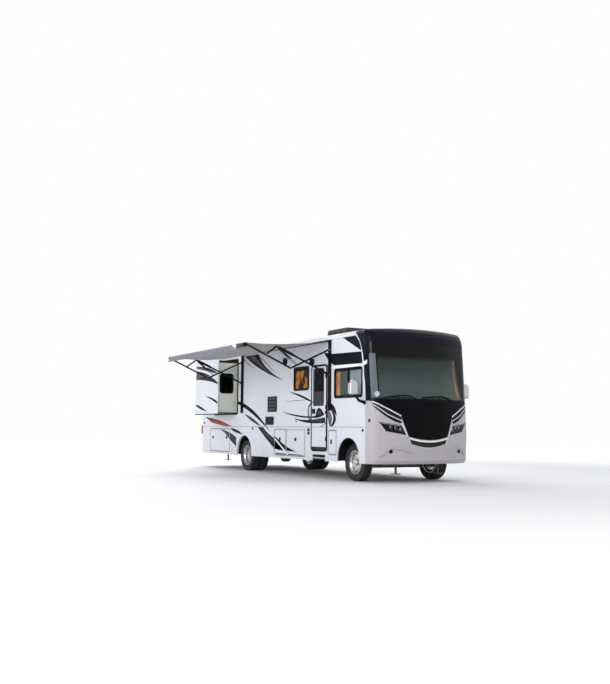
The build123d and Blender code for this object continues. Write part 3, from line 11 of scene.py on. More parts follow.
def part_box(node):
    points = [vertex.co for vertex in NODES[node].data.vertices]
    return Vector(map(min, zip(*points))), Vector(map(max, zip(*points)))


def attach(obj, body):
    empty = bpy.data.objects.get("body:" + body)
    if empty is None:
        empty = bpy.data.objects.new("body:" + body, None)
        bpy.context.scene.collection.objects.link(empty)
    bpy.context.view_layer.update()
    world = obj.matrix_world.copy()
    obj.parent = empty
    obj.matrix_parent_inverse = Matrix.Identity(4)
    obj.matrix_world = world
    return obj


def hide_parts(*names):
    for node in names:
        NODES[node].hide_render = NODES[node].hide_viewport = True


bl_info = {
    "name": "Motorhome Dressing",
    "version": (1, 0, 0),
    "blender": (4, 5, 0),
    "location": "View3D > Sidebar > Motorhome",
    "description": "Finishes, stripes, glass, cloth, lamps, tyres and trim for a packed motorhome",
    "category": "Object",
}

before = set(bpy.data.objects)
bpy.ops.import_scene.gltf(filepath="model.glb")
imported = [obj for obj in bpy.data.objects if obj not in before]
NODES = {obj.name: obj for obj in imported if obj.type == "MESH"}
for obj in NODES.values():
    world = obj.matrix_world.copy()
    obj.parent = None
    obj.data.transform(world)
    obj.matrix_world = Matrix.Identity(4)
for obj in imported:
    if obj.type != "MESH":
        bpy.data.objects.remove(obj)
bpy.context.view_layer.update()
CAP_LOW, CAP_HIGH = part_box("front_cap")
TYRE_LOW, TYRE_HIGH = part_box("front_tyre_right")
ORIGIN = Vector(((TYRE_LOW[0] + TYRE_HIGH[0]) / 2, (CAP_LOW[1] + CAP_HIGH[1]) / 2, 0.0))
HALF = (CAP_HIGH[1] - CAP_LOW[1]) / 2
INNER = HALF - 0.045
TYRE_R = (TYRE_HIGH[2] - TYRE_LOW[2]) / 2
REAR_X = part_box("rear_wall")[0][0] - ORIGIN.x
BOTH_SIDES = (("right", -1), ("left", 1))


def at(x, y, z):
    """A place given from the ground below the front axle, in the row frame."""
    return ORIGIN + Vector((x, y, z))


# Places and sizes on the coach, in metres: front x, rear x, low z, high z

ENTRY = (-0.95, -1.6, 0.65, 2.57)
ENTRY_GLASS = (-1.06, -1.52, 1.71, 2.51)
CAB_WINDOW = (0.56, -0.58, 1.82, 2.46)
HOUSE_WINDOW = (-1.75, -2.49, 2.05, 2.6)
LEFT_WINDOWS = ((-1.5, -2.7, 1.9, 2.6), (-6.3, -7.1, 2.05, 2.6))
SLIDE = (-5.77, -7.32, 1.54, 2.98)
SLIDE_FACE_Y = -HALF - 0.59
SLIDE_END_X = -5.78
SERVICE = (-0.5, -0.84, 0.55, 1.1)
LOCKERS = {
    "baggage_door_right_a": (-1, -1.93, -2.85, 0.47, 1.11),
    "baggage_door_right_b": (-1, -2.9, -3.5, 0.47, 1.11),
    "baggage_door_right_c": (-1, -6.23, -7.6, 0.47, 1.11),
    "baggage_door_left_a": (1, -1.5, -3.3, 0.47, 1.11),
    "baggage_door_left_b": (1, -6.23, -7.6, 0.47, 1.11),
}
DOOR_GAP = 0.008
BELT_Z = 1.17
SIDE_FRONT, SIDE_REAR = 0.628, -8.165
AHEAD, LEFT, UP = (Vector(row) for row in Matrix.Identity(3))


# Settings a user may change

class CoachColours(bpy.types.PropertyGroup):
    """Colours of the coach's main finishes."""
    body: bpy.props.FloatVectorProperty(name="Body", description="Gel coat of the walls and doors",
        subtype="COLOR", size=3, default=(0.72, 0.73, 0.79))
    # Lower Nose is painted shade: the walls' white, darkened for the front cap.
    nose: bpy.props.FloatVectorProperty(name="Lower Nose", description="Paint of the lower front cap",
        subtype="COLOR", size=3, default=(0.51, 0.48, 0.495))
    crown: bpy.props.FloatVectorProperty(name="Crown", description="Paint of the cap's top and pillars",
        subtype="COLOR", size=3, default=(0.003, 0.004, 0.013))
    dark_stripe: bpy.props.FloatVectorProperty(name="Dark Stripe", description="Darkest cut vinyl",
        subtype="COLOR", size=3, default=(0.008, 0.008, 0.014))
    cloth: bpy.props.FloatVectorProperty(name="Awning Cloth", description="Underside of the awning",
        subtype="COLOR", size=3, default=(0.31, 0.29, 0.29))
    blind: bpy.props.FloatVectorProperty(name="Windshield Blind", description="Pleated blind of the cab",
        subtype="COLOR", size=3, default=(0.142, 0.167, 0.165))


class CoachSizes(bpy.types.PropertyGroup):
    """Sizes of the dressing's small forms."""
    stripe_lift: bpy.props.FloatProperty(name="Stripe Lift",
        description="How far the cut vinyl stands proud", unit="LENGTH", default=0.0008, min=0.0003,
        max=0.003)
    awning_sag: bpy.props.FloatProperty(name="Awning Sag",
        description="Dip of the cloth between rail and tube", unit="LENGTH", default=0.08, min=0.0, max=0.12)
    tread_depth: bpy.props.FloatProperty(name="Tread Depth", description="Height of the tread blocks",
        unit="LENGTH", default=0.009, min=0.004, max=0.016)
    pleat: bpy.props.FloatProperty(name="Blind Pleat", description="Height of one pleat of the cab blind",
        unit="LENGTH", default=0.03, min=0.015, max=0.06)


def colours():
    return bpy.context.scene.coach_colours


def sizes():
    return bpy.context.scene.coach_sizes


# Shader building

SOCKETS = {
    "metallic": "Metallic", "roughness": "Roughness", "coat": "Coat Weight", "ior": "IOR",
    "transmission": "Transmission Weight", "sheen": "Sheen Weight", "specular": "Specular IOR Level",
    "glow": "Emission Strength", "base": "Base Color",
}


def rgba(colour):
    return (colour[0], colour[1], colour[2], 1.0)


class Net:
    """A node tree that is being wired up."""

    def __init__(self, tree):
        self.tree = tree

    def add(self, kind, inputs=None, **settings):
        node = self.tree.nodes.new(kind)
        for key, value in settings.items():
            setattr(node, key, value)
        for key, value in (inputs or {}).items():
            self.feed(node, key, value)
        return node

    def feed(self, node, key, value):
        """Links a socket to a node's input, or sets the input to a plain value."""
        if isinstance(value, bpy.types.NodeSocket):
            self.tree.links.new(value, node.inputs[key])
        else:
            node.inputs[key].default_value = value

    def bump(self, height, distance, **more):
        return self.add("ShaderNodeBump", {"Height": height, "Distance": distance, **more}).outputs[0]

    def sum(self, operation, a, b=0.0):
        return self.add("ShaderNodeMath", {0: a, 1: b}, operation=operation).outputs[0]

    def times(self, a, b):
        return self.sum("MULTIPLY", a, b)

    def less(self, a, b):
        return self.sum("SUBTRACT", a, b)

    def most(self, a, b):
        return self.sum("MAXIMUM", a, b)

    def mix(self, factor, a, b):
        a, b = (rgba(v) if isinstance(v, (tuple, list)) and len(v) == 3 else v for v in (a, b))
        return self.add("ShaderNodeMix", {0: factor, 6: a, 7: b}, data_type="RGBA").outputs[2]

    def ramp(self, value, low, high, out_low=0.0, out_high=1.0):
        inputs = {"Value": value, "From Min": low, "From Max": high, "To Min": out_low, "To Max": out_high}
        return self.add("ShaderNodeMapRange", inputs, interpolation_type="SMOOTHSTEP").outputs[0]

    def spot(self, scale=(1, 1, 1)):
        """Object coordinates from the coach's origin, stretched by a scale."""
        place = self.add("ShaderNodeTexCoord").outputs["Object"]
        shift = tuple(-ORIGIN[i] * scale[i] for i in range(3))
        return self.add("ShaderNodeMapping", {"Vector": place, "Location": shift, "Scale": scale}).outputs[0]

    def xyz(self):
        return self.add("ShaderNodeSeparateXYZ", {0: self.spot()}).outputs

    def noise(self, scale, detail=2.0, stretch=(1, 1, 1)):
        inputs = {"Vector": self.spot(stretch), "Scale": scale, "Detail": detail}
        return self.add("ShaderNodeTexNoise", inputs).outputs["Fac"]

    def band(self, value, low, high, soft=0.001):
        """1 between low and high, 0 outside."""
        above = self.ramp(value, low - soft, low + soft)
        return self.times(above, self.ramp(value, high + soft, high - soft))

    def shows_background(self):
        """1 for a ray that shows the background: from the camera, off gloss or through glass."""
        path = self.add("ShaderNodeLightPath").outputs
        bounced = self.most(path["Is Glossy Ray"], path["Is Transmission Ray"])
        return self.most(path["Is Camera Ray"], bounced)

    def use(self, group, inputs):
        return self.add("ShaderNodeGroup", inputs, node_tree=group).outputs


def group_tree(name, kind, inputs, outputs):
    """A node group with named sockets: rows of name, socket kind and default."""
    tree = bpy.data.node_groups.new(name, kind)
    for label, socket, default in inputs:
        item = tree.interface.new_socket(label, in_out="INPUT", socket_type="NodeSocket" + socket)
        if default is not None:
            item.default_value = default
    for label, socket in outputs:
        tree.interface.new_socket(label, in_out="OUTPUT", socket_type="NodeSocket" + socket)
    net = Net(tree)
    return tree, net, net.add("NodeGroupInput").outputs, net.add("NodeGroupOutput")


def make_road_film():
    """Dust that settles on ledges and thrown dirt that thins with height."""
    tree, net, given, out = group_tree("Road Film", "ShaderNodeTree",
        [("Color", "Color", None), ("Film", "Color", (0.3, 0.27, 0.23, 1)), ("Amount", "Float", 0.3),
        ("Top", "Float", 1.2)], [("Color", "Color"), ("Mask", "Float")])
    height = net.xyz()[2]
    low = net.less(1.0, net.ramp(net.sum("DIVIDE", height, given["Top"]), 0.25, 1.0))
    streaks = net.ramp(net.noise(5.0, 4.0, (1.0, 1.0, 0.18)), 0.35, 0.75, 0.35, 1.0)
    thrown = net.times(low, streaks)
    up = net.add("ShaderNodeSeparateXYZ", {0: net.add("ShaderNodeNewGeometry").outputs["Normal"]}).outputs[2]
    settled = net.times(net.ramp(up, 0.3, 0.95, 0.0, 0.5), net.ramp(net.noise(9.0, 4.0), 0.3, 0.7))
    mask = net.times(given["Amount"], net.most(thrown, settled))
    net.feed(out, "Color", net.mix(mask, given["Color"], given["Film"]))
    net.feed(out, "Mask", mask)
    return tree


def make_moulded_skin():
    """The slight waviness and orange peel of a moulded or sprayed panel."""
    tree, net, given, out = group_tree("Moulded Skin", "ShaderNodeTree",
        [("Peel", "Float", 0.0001), ("Wave", "Float", 0.001)], [("Normal", "Vector")])
    wave = net.bump(net.noise(1.7, 1.0), given["Wave"])
    net.feed(out, "Normal", net.bump(net.noise(190.0, 2.0), given["Peel"], Normal=wave))
    return tree


def make_grain():
    """A moulded or cast texture: fine pits over soft lumps."""
    tree, net, given, out = group_tree("Grain", "ShaderNodeTree",
        [("Scale", "Float", 400.0), ("Depth", "Float", 0.0003)], [("Normal", "Vector")])
    texture = net.add("ShaderNodeTexNoise", {"Vector": net.spot(), "Scale": given["Scale"], "Detail": 4.0})
    net.feed(out, "Normal", net.bump(texture.outputs["Fac"], given["Depth"]))
    return tree


def make_scuffs():
    """Sparse rub marks: fine scratches inside a few worn patches."""
    tree, net, given, out = group_tree("Scuffs", "ShaderNodeTree",
        [("Amount", "Float", 0.3), ("Scale", "Float", 30.0)], [("Mask", "Float")])
    fine = net.add("ShaderNodeTexNoise", {"Vector": net.spot((1.0, 1.0, 3.0)), "Scale": given["Scale"],
        "Detail": 6.0})
    patch = net.ramp(net.noise(2.3, 2.0), 0.52, 0.68)
    marks = net.ramp(fine.outputs["Fac"], 0.55, 0.68)
    net.feed(out, "Mask", net.times(given["Amount"], net.times(patch, marks)))
    return tree


def make_weave():
    """Plain weave on the cloth's own UV map, which is in metres."""
    tree, net, given, out = group_tree("Weave", "ShaderNodeTree",
        [("Thread", "Float", 0.002), ("Depth", "Float", 0.0004)], [("Shade", "Float"), ("Normal", "Vector")])
    place = net.add("ShaderNodeSeparateXYZ", {0: net.add("ShaderNodeUVMap",
        uv_map="Cloth").outputs[0]}).outputs
    turn = net.sum("DIVIDE", pi, given["Thread"])
    across = net.sum("SINE", net.times(place[0], turn))
    along = net.sum("SINE", net.times(place[1], turn))
    shade = net.sum("MULTIPLY_ADD", net.times(across, along), 0.5)
    shade.node.inputs[2].default_value = 0.5
    net.feed(out, "Shade", shade)
    net.feed(out, "Normal", net.bump(shade, given["Depth"]))
    return tree


GROUPS = {}


def shared(maker):
    if maker not in GROUPS:
        GROUPS[maker] = maker()
    return GROUPS[maker]


def surface(name, **values):
    """A new material, its net, and a function that feeds or sets an input of its shader."""
    material = bpy.data.materials.new(name)
    material.use_nodes = True
    net = Net(material.node_tree)
    shader = material.node_tree.nodes["Principled BSDF"]
    for key, value in values.items():
        shader.inputs[SOCKETS[key]].default_value = rgba(value) if key == "base" else value
    return material, net, lambda key, value: net.feed(shader, key, value)


def hard(name, colour, rough=0.3, spread=0.06, mottle=0.05, film=0.0, film_top=1.2, skin=None, grain=None,
        scuff=0.0, scuff_colour=(0.5, 0.5, 0.5), metal_mask=None, **values):
    """A painted, moulded or metal finish. colour is one, or a function that puts one out in a net."""
    material, net, put = surface(name, **values)
    tone = colour(net) if callable(colour) else rgba(colour)
    shaded = net.mix(net.ramp(net.noise(1.1, 2.0), 0.3, 0.7, 0.0, mottle), tone, (0.05, 0.05, 0.05))
    if scuff:
        marks = net.use(shared(make_scuffs), {"Amount": scuff})["Mask"]
        shaded = net.mix(marks, shaded, scuff_colour)
    roughness = net.ramp(net.noise(7.0, 3.0), 0.3, 0.7, rough - spread, rough + spread)
    if film:
        dirt = net.use(shared(make_road_film), {"Color": shaded, "Amount": film, "Top": film_top})
        shaded = dirt["Color"]
        roughness = net.sum("ADD", roughness, net.times(dirt["Mask"], 0.5))
    put("Base Color", shaded)
    put("Roughness", roughness)
    if metal_mask:
        put("Metallic", metal_mask(net))
    if skin:
        put("Normal", net.use(shared(make_moulded_skin), {"Peel": skin[0], "Wave": skin[1]})["Normal"])
    if grain:
        put("Normal", net.use(shared(make_grain), {"Scale": grain[0], "Depth": grain[1]})["Normal"])
    return material


PROUD = 0.001
HARDWARE_BLACK = (0.012, 0.012, 0.014)


def proud_mask(net):
    """1 on latches and other hardware that stands out from the side walls, 0 on the painted hinges."""
    _, y, z = net.xyz()
    proud = net.ramp(net.sum("ABSOLUTE", y), HALF + PROUD * 0.4, HALF + PROUD)
    hinges = net.most(net.ramp(z, 0.722, 0.718), net.band(z, 0.955, 1.16))
    return net.times(proud, net.less(1.0, hinges))


def body_colour(net):
    """White sides, dark paint ahead of the seam moulding, black hardware and black wheel wells."""
    x, y, z = net.xyz()
    wells = net.times(net.ramp(net.sum("ABSOLUTE", y), INNER - 0.004, INNER - 0.006),
        net.ramp(x, -8.164, -8.16))
    lean = net.sum("POWER", net.most(net.less(z, 2.2), 0.0), 3.0)
    edge = net.less(SIDE_FRONT, net.times(lean, 0.31))
    ahead = net.ramp(net.less(x, edge), -0.002, 0.002)
    white = net.mix(ahead, rgba(colours().body), rgba(colours().crown))
    dark = net.most(wells, proud_mask(net))
    return net.mix(dark, white, HARDWARE_BLACK)


def nose_colour_with_painted_shade(net):
    """Low on the cap, the walls' white behind the seam and a darker warm copy of it ahead, which is painted
    shade on the front; dark above the slanted line that ends at the hood.
    """
    x, y, z = net.xyz()
    line = net.sum("ADD", net.times(net.sum("ABSOLUTE", y), 0.52), 1.06)
    lean = net.sum("POWER", net.most(net.less(z, 1.9), 0.0), 2.0)
    ahead = net.ramp(net.sum("ADD", x, net.times(lean, 0.33)), 0.678, 0.682)
    dark = net.times(net.ramp(net.less(z, line), -0.003, 0.003), ahead)
    # Painted shade: ahead of the seam, the lower nose is the walls' white darkened.
    low = net.mix(ahead, rgba(colours().body), rgba(colours().nose))
    return net.mix(dark, low, rgba(colours().crown))


def slide_colour(net):
    """White outer face and pale beige ends, with dark bands at the top and the bottom; the top band is painted
    shadow under the awning, and stands for a slide topper too.
    """
    _, y, z = net.xyz()
    face = net.ramp(y, SLIDE_FACE_Y + 0.021, SLIDE_FACE_Y + 0.019)
    tone = net.mix(face, (0.64, 0.68, 0.58), rgba(colours().body))
    inside = net.ramp(y, SLIDE_FACE_Y + 0.02, SLIDE_FACE_Y + 0.024)
    shaded = net.mix(net.times(net.ramp(z, 1.634, 1.63), inside), tone, (0.56, 0.6, 0.52))
    # Painted shadow: the band along the top of the ends darkens them under the awning; the other band runs
    # dark along their lower edge.
    dark = net.most(net.ramp(z, 2.912, 2.916), net.ramp(z, 1.56, 1.556))
    return net.mix(net.times(dark, inside), shaded, (0.01, 0.01, 0.012))


def mirror_mask(net):
    """1 on the mirror's shell, 0 on its arm."""
    return net.ramp(net.xyz()[2], 1.856, 1.862)


def grille_bar(net):
    """1 on the bright bar above the crescent, which follows the crescent's upper arc."""
    _, y, z = net.xyz()
    rise = net.times(net.times(y, y), 0.074 / 0.512 ** 2)
    return net.ramp(net.less(z, rise), 0.855, 0.858)


def roof_colour(net):
    """Pale membrane on the crown, body colour at its edges and the nose's dark paint in front."""
    x, _, z = net.xyz()
    membrane = net.mix(net.ramp(z, 3.225, 3.245), rgba(colours().body), (0.62, 0.62, 0.62))
    return net.mix(net.ramp(x, 0.3, 0.304), membrane, rgba(colours().crown))


def unit_colour(net):
    """Black cooling unit, grey vents behind it."""
    return net.mix(net.ramp(net.xyz()[0], -3.5, -3.4), (0.34, 0.34, 0.36), (0.022, 0.022, 0.025))


def lamp_glass(name, base):
    """A clear or coloured lens with fine ribs."""
    material, net, put = surface(name, base=base, roughness=0.02, transmission=1.0, ior=1.5, coat=0.5)
    ribs = net.sum("SINE", net.times(net.xyz()[1], 900.0))
    put("Normal", net.bump(ribs, 0.0002, Strength=0.5))
    put("Roughness", net.ramp(net.noise(30.0), 0.3, 0.7, 0.02, 0.06))
    return material


def all_lenses(name):
    """Clear lenses in front and red and amber ones behind, in one node."""
    material, net, put = surface(name, transmission=1.0, ior=1.1)
    x, _, z = net.xyz()
    rear = net.ramp(x, -7.9, -8.0)
    amber = net.band(z, 1.13, 1.21)
    red = net.mix(amber, (0.55, 0.012, 0.008), (0.75, 0.22, 0.02))
    put("Base Color", net.mix(rear, (0.97, 0.98, 0.99), red))
    ribs = net.times(net.sum("SINE", net.times(z, 700.0)), rear)
    put("Normal", net.bump(ribs, 0.0003, Strength=0.4))
    put("Roughness", net.ramp(net.noise(30.0), 0.3, 0.7, 0.02, 0.08))
    return material


def windshield_glass(name):
    """Clear glass that darkens with height: a tint band along its top, deepened and drawn down to the middle
    as painted shade.
    """
    material, net, put = surface(name, transmission=1.0, ior=1.25)
    z = net.xyz()[2]
    # Painted shade: from the middle up, the glass darkens more than a tint band would, darkening the blind
    # seen through it.
    upper = net.mix(net.ramp(z, 2.56, 2.72), (0.48, 0.53, 0.53), (0.06, 0.07, 0.08))
    tint_and_painted_shade = net.mix(net.ramp(z, 1.9, 2.62), (0.76, 0.84, 0.83), upper)
    put("Base Color", tint_and_painted_shade)
    put("Roughness", net.ramp(net.noise(4.0, 4.0, (1, 1, 0.3)), 0.35, 0.75, 0.01, 0.07))
    wave = net.use(shared(make_moulded_skin), {"Peel": 0.00001, "Wave": 0.0012})
    put("Normal", wave["Normal"])
    return material


def tinted_glass(name):
    """Grey glass in the house's windows and clearer glass in the cab's."""
    material, net, put = surface(name, transmission=1.0, ior=1.06)
    cab = net.ramp(net.xyz()[0], -0.7, -0.65)
    house = net.mix(net.noise(3.0, 2.0), (0.42, 0.43, 0.46), (0.48, 0.49, 0.52))
    put("Base Color", net.mix(cab, house, (0.74, 0.8, 0.8)))
    put("Roughness", net.ramp(net.noise(5.0, 4.0, (1, 1, 0.4)), 0.35, 0.75, 0.01, 0.06))
    wave = net.use(shared(make_moulded_skin), {"Peel": 0.00001, "Wave": 0.0008})
    put("Normal", wave["Normal"])
    return material


def woven(name, colour, thread, sheen=0.2, glow=None):
    """Cloth woven in its own UV map. glow is two emission colours and a strength: painted light of lamps
    inside the coach, in patches on the cloth.
    """
    material, net, put = surface(name, roughness=0.85, sheen=sheen, specular=0.2)
    weave = net.use(shared(make_weave), {"Thread": thread, "Depth": thread * 0.12})
    tone = net.mix(net.ramp(net.noise(3.0, 4.0), 0.3, 0.7), colour, tuple(c * 0.86 for c in colour))
    shaded = net.mix(net.times(weave["Shade"], 0.25), tone, (0.03, 0.03, 0.03))
    put("Base Color", shaded)
    put("Normal", weave["Normal"])
    if glow:
        colour_a, colour_b, strength = glow
        # Painted light: the cloth glows in patches, as if lit by lamps inside the coach.
        painted_light_patches = net.ramp(net.noise(5.0, 2.0, (1, 1, 0.8)), 0.38, 0.54)
        put("Emission Color", net.mix(painted_light_patches, colour_a, colour_b))
        put("Emission Strength", strength)
    return material


def flaked(colour, fleck):
    """Paint with fine bright flakes in it."""
    def tone(net):
        cells = net.add("ShaderNodeTexVoronoi", {"Vector": net.spot(), "Scale": 900.0})
        return net.mix(net.ramp(cells.outputs["Distance"], 0.1, 0.02, 0.0, 0.5), colour, fleck)
    return tone


def vinyl(name, near, far, low_z, high_z):
    """Cut vinyl that fades from one colour to another with height, through a fine screen of lines."""
    def tone(net):
        x, _, z = net.xyz()
        screen = net.sum("SINE", net.times(net.sum("ADD", x, net.times(z, 1.7)), 520.0))
        fade = net.sum("ADD", net.ramp(z, low_z, high_z), net.times(screen, 0.1))
        return net.mix(fade, near, far)
    return hard(name, tone, rough=0.22, spread=0.05, mottle=0.03, film=0.06, film_top=1.0, specular=0.04,
        skin=(0.00004, 0.0006))


# Finishes that need a maker of their own, then those that hard makes from a table

PALETTE = {
    "Dark Vinyl": lambda name: vinyl(name, tuple(colours().dark_stripe), (0.01, 0.01, 0.016), 0.9, 3.3),
    "Grey Vinyl": lambda name: vinyl(name, (0.046, 0.043, 0.054), (0.085, 0.076, 0.096), 0.6, 3.2),
    "Valance Cloth": lambda name: woven(name, (0.21, 0.21, 0.28), 0.003, sheen=0.3),
    "Lavender Vinyl": lambda name: vinyl(name, (0.1, 0.085, 0.15), (0.16, 0.14, 0.22), 1.1, 1.6),
    "Orange Vinyl": lambda name: vinyl(name, (0.32, 0.08, 0.042), (0.14, 0.05, 0.024), 1.22, 1.44),
    "Bright Vinyl": lambda name: vinyl(name, (0.86, 0.86, 0.9), (0.9, 0.9, 0.94), 0.5, 3.0),
    "Amber Lens": lambda name: lamp_glass(name, (0.85, 0.3, 0.03)),
    "Clear Lens": lambda name: lamp_glass(name, (0.92, 0.95, 0.98)),
    "Lamp Lenses": all_lenses,
    "Windshield Glass": windshield_glass,
    "Tinted Glass": tinted_glass,
    "Awning Cloth": lambda name: woven(name, tuple(colours().cloth), 0.003, sheen=0.3),
    "Cab Blind": lambda name: woven(name, tuple(colours().blind), 0.0016, sheen=0.3),
    "Night Blind": lambda name: woven(name, (0.012, 0.012, 0.014), 0.0016),
    "Teal Blind": lambda name: woven(name, (0.13, 0.15, 0.145), 0.0016),
    # Painted light: these curtains glow, as if lit by lamps inside the coach.
    "Dark Curtain With Painted Lamplight": lambda name: woven(name, (0.05, 0.03, 0.02), 0.002,
        glow=((0.66, 0.28, 0.045), (0.026, 0.013, 0.008), 1.2)),
    "Grey Blind": lambda name: woven(name, (0.5, 0.52, 0.54), 0.0016),
    "Curtain With Painted Lamplight": lambda name: woven(name, (0.36, 0.17, 0.075), 0.002,
        glow=((0.52, 0.24, 0.09), (0.2, 0.075, 0.03), 0.75)),
    "Lamp White": lambda name: lit(name, (1.0, 0.97, 0.92), 6.0),
}
HARD = {
    "White Gel Coat": dict(colour=body_colour, rough=0.3, spread=0.03, mottle=0.015, film=0.1, film_top=1.0,
        skin=(0.0, 0.0006), specular=0.08),
    "Nose Paint And Painted Shade": dict(colour=nose_colour_with_painted_shade, rough=0.24, spread=0.02, mottle=0.015, film=0.03, film_top=0.85,
        skin=(0.0, 0.0006), specular=0.1),
    "Slide White": dict(colour=slide_colour, rough=0.3, spread=0.03, mottle=0.02, film=0.1, film_top=1.6,
        skin=(0.00003, 0.0008)),
    "Roof Membrane": dict(colour=roof_colour, rough=0.55, spread=0.15, mottle=0.12, film=0.3, film_top=0.5,
        grain=(60.0, 0.0008), scuff=0.3),
    "Hood Black": dict(colour=flaked((0.002, 0.002, 0.003), (0.01, 0.01, 0.013)), rough=0.18, specular=0.06,
        film=0.01, film_top=1.3, skin=(0.00004, 0.0008)),
    "Frame Black": dict(colour=(0.02, 0.02, 0.021), rough=0.55, spread=0.15, film=0.75, film_top=1.3,
        grain=(220.0, 0.0006), scuff=0.4, scuff_colour=(0.12, 0.07, 0.04)),
    "Axle Black": dict(colour=(0.03, 0.029, 0.028), rough=0.62, spread=0.15, film=0.8, film_top=1.2,
        grain=(160.0, 0.001), scuff=0.55, scuff_colour=(0.16, 0.09, 0.05)),
    "Engine Iron": dict(colour=(0.14, 0.13, 0.125), rough=0.6, film=0.5, film_top=1.4, metallic=0.6,
        grain=(120.0, 0.0016), scuff=0.5, scuff_colour=(0.2, 0.12, 0.07)),
    "Bare Steel": dict(colour=(0.42, 0.42, 0.43), rough=0.38, film=0.5, metallic=1.0, grain=(300.0, 0.0003),
        scuff=0.4, scuff_colour=(0.22, 0.12, 0.07)),
    "Exhaust Steel": dict(colour=(0.36, 0.31, 0.27), rough=0.42, spread=0.12, mottle=0.35, film=0.6,
        metallic=1.0, grain=(140.0, 0.0005), scuff=0.6, scuff_colour=(0.24, 0.11, 0.05)),
    "Tank Plastic": dict(colour=(0.028, 0.028, 0.032), rough=0.6, film=0.6, grain=(500.0, 0.0004)),
    "Bay Plastic": dict(colour=(0.055, 0.055, 0.058), rough=0.58, film=0.35, grain=(600.0, 0.0004),
        scuff=0.3, scuff_colour=(0.14, 0.14, 0.14)),
    "Floor Board": dict(colour=(0.22, 0.16, 0.11), rough=0.6, mottle=0.35, film=0.2, grain=(80.0, 0.0008)),
    "Window Black": dict(colour=(0.006, 0.006, 0.007), rough=0.36, film=0.04, film_top=2.4,
        grain=(900.0, 0.0001), specular=0.05),
    "Trim Black": dict(colour=(0.01, 0.01, 0.011), rough=0.48, film=0.12, film_top=2.0, specular=0.2,
        grain=(700.0, 0.0003), scuff=0.2, scuff_colour=(0.08, 0.08, 0.08)),
    "Gloss Black": dict(colour=(0.004, 0.004, 0.005), rough=0.16, film=0.03, film_top=1.4, specular=0.12,
        skin=(0.00003, 0.0004)),
    "Rubber Seal": dict(colour=(0.006, 0.006, 0.006), rough=0.7, film=0.08, film_top=1.6,
        grain=(350.0, 0.0004), specular=0.05),
    "Powder Black": dict(colour=(0.006, 0.006, 0.007), rough=0.42, spread=0.08, film=0.05, film_top=2.2,
        grain=(1100.0, 0.0002), scuff=0.15, scuff_colour=(0.12, 0.12, 0.13), specular=0.15),
    "Awning Tube": dict(colour=(0.48, 0.48, 0.53), rough=0.36, film=0.05, mottle=0.06, grain=(500.0, 0.0001),
        coat=0.3),
    "Roof Plastic": dict(colour=unit_colour, rough=0.55, film=0.35, film_top=0.4, grain=(450.0, 0.0004),
        scuff=0.2, scuff_colour=(0.16, 0.16, 0.17)),
    "White Plastic": dict(colour=(0.66, 0.66, 0.69), rough=0.42, film=0.3, film_top=1.8,
        grain=(600.0, 0.0002), mottle=0.08),
    "Vent Housing": dict(colour=(0.01, 0.01, 0.012), rough=0.45, film=0.03, film_top=1.8, specular=0.1,
        grain=(600.0, 0.0002), mottle=0.08),
    "White Trim": dict(colour=(0.76, 0.76, 0.8), rough=0.22, film=0.15, coat=0.5, skin=(0.00004, 0.0003)),
    "Grey Trim": dict(colour=(0.42, 0.42, 0.47), rough=0.34, film=0.1, coat=0.2, grain=(500.0, 0.0001)),
    "Pillar Grey": dict(colour=(0.15, 0.172, 0.18), rough=0.5, film=0.05, specular=0.1,
        grain=(900.0, 0.0001)),
    "Vent Grey": dict(colour=(0.11, 0.11, 0.12), rough=0.5, film=0.15, film_top=1.9, grain=(700.0, 0.0002)),
    "Screen Grey": dict(colour=(0.044, 0.042, 0.056), rough=0.5, film=0.03, film_top=1.9, specular=0.1,
        grain=(1400.0, 0.0002)),
    "Dark Chrome": dict(colour=(0.16, 0.16, 0.17), rough=0.16, spread=0.04, film=0.04, metallic=1.0,
        skin=(0.0, 0.0002)),
    "Wheel Chrome": dict(colour=(0.72, 0.72, 0.74), rough=0.14, spread=0.07, mottle=0.12, film=0.4,
        film_top=0.9, metallic=1.0, skin=(0.00003, 0.0003), scuff=0.3, scuff_colour=(0.3, 0.27, 0.24)),
    "Mirror Cover": dict(colour=lambda net: net.mix(mirror_mask(net), (0.012, 0.012, 0.014),
        (0.52, 0.53, 0.55)), rough=0.09, spread=0.03, film=0.1, film_top=2.4, metal_mask=mirror_mask),
    "Smile": dict(colour=lambda net: net.mix(grille_bar(net), (0.01, 0.01, 0.012), (0.8, 0.8, 0.81)),
        rough=0.14, spread=0.04, film=0.15, film_top=1.2, metal_mask=grille_bar),
    "Ladder Metal": dict(colour=(0.34, 0.34, 0.36), rough=0.3, spread=0.08, film=0.15, film_top=2.6,
        metallic=1.0, grain=(400.0, 0.0001), scuff=0.3, scuff_colour=(0.35, 0.34, 0.33)),
    "Blank Disc": dict(colour=(0.55, 0.6, 0.78), rough=0.4),
    "Red Lens": dict(colour=(0.2, 0.008, 0.018), rough=0.12, specular=0.2, film=0.03, film_top=1.6),
    "Mirror Glass": dict(colour=(0.62, 0.66, 0.7), rough=0.03, spread=0.02, metallic=1.0, film=0.06,
        film_top=2.6),
    "Tyre Rubber": dict(colour=(0.013, 0.013, 0.014), rough=0.72, spread=0.1, mottle=0.3, film=0.1,
        film_top=0.9, grain=(300.0, 0.0006), scuff=0.25, scuff_colour=(0.06, 0.058, 0.055), specular=0.3),
}


def lit(name, colour, strength):
    """A lit diffuser with a faint mottle."""
    material, net, put = surface(name, base=(0.8, 0.8, 0.8), roughness=0.4, glow=strength)
    put("Emission Color", net.mix(net.ramp(net.noise(40.0), 0.2, 0.8), colour,
        tuple(c * 0.8 for c in colour)))
    return material


MADE = {}


def finish(name):
    """The named finish, made the first time that it is asked for."""
    if name not in MADE:
        MADE[name] = hard(name, **HARD[name]) if name in HARD else PALETTE[name](name)
    return MADE[name]


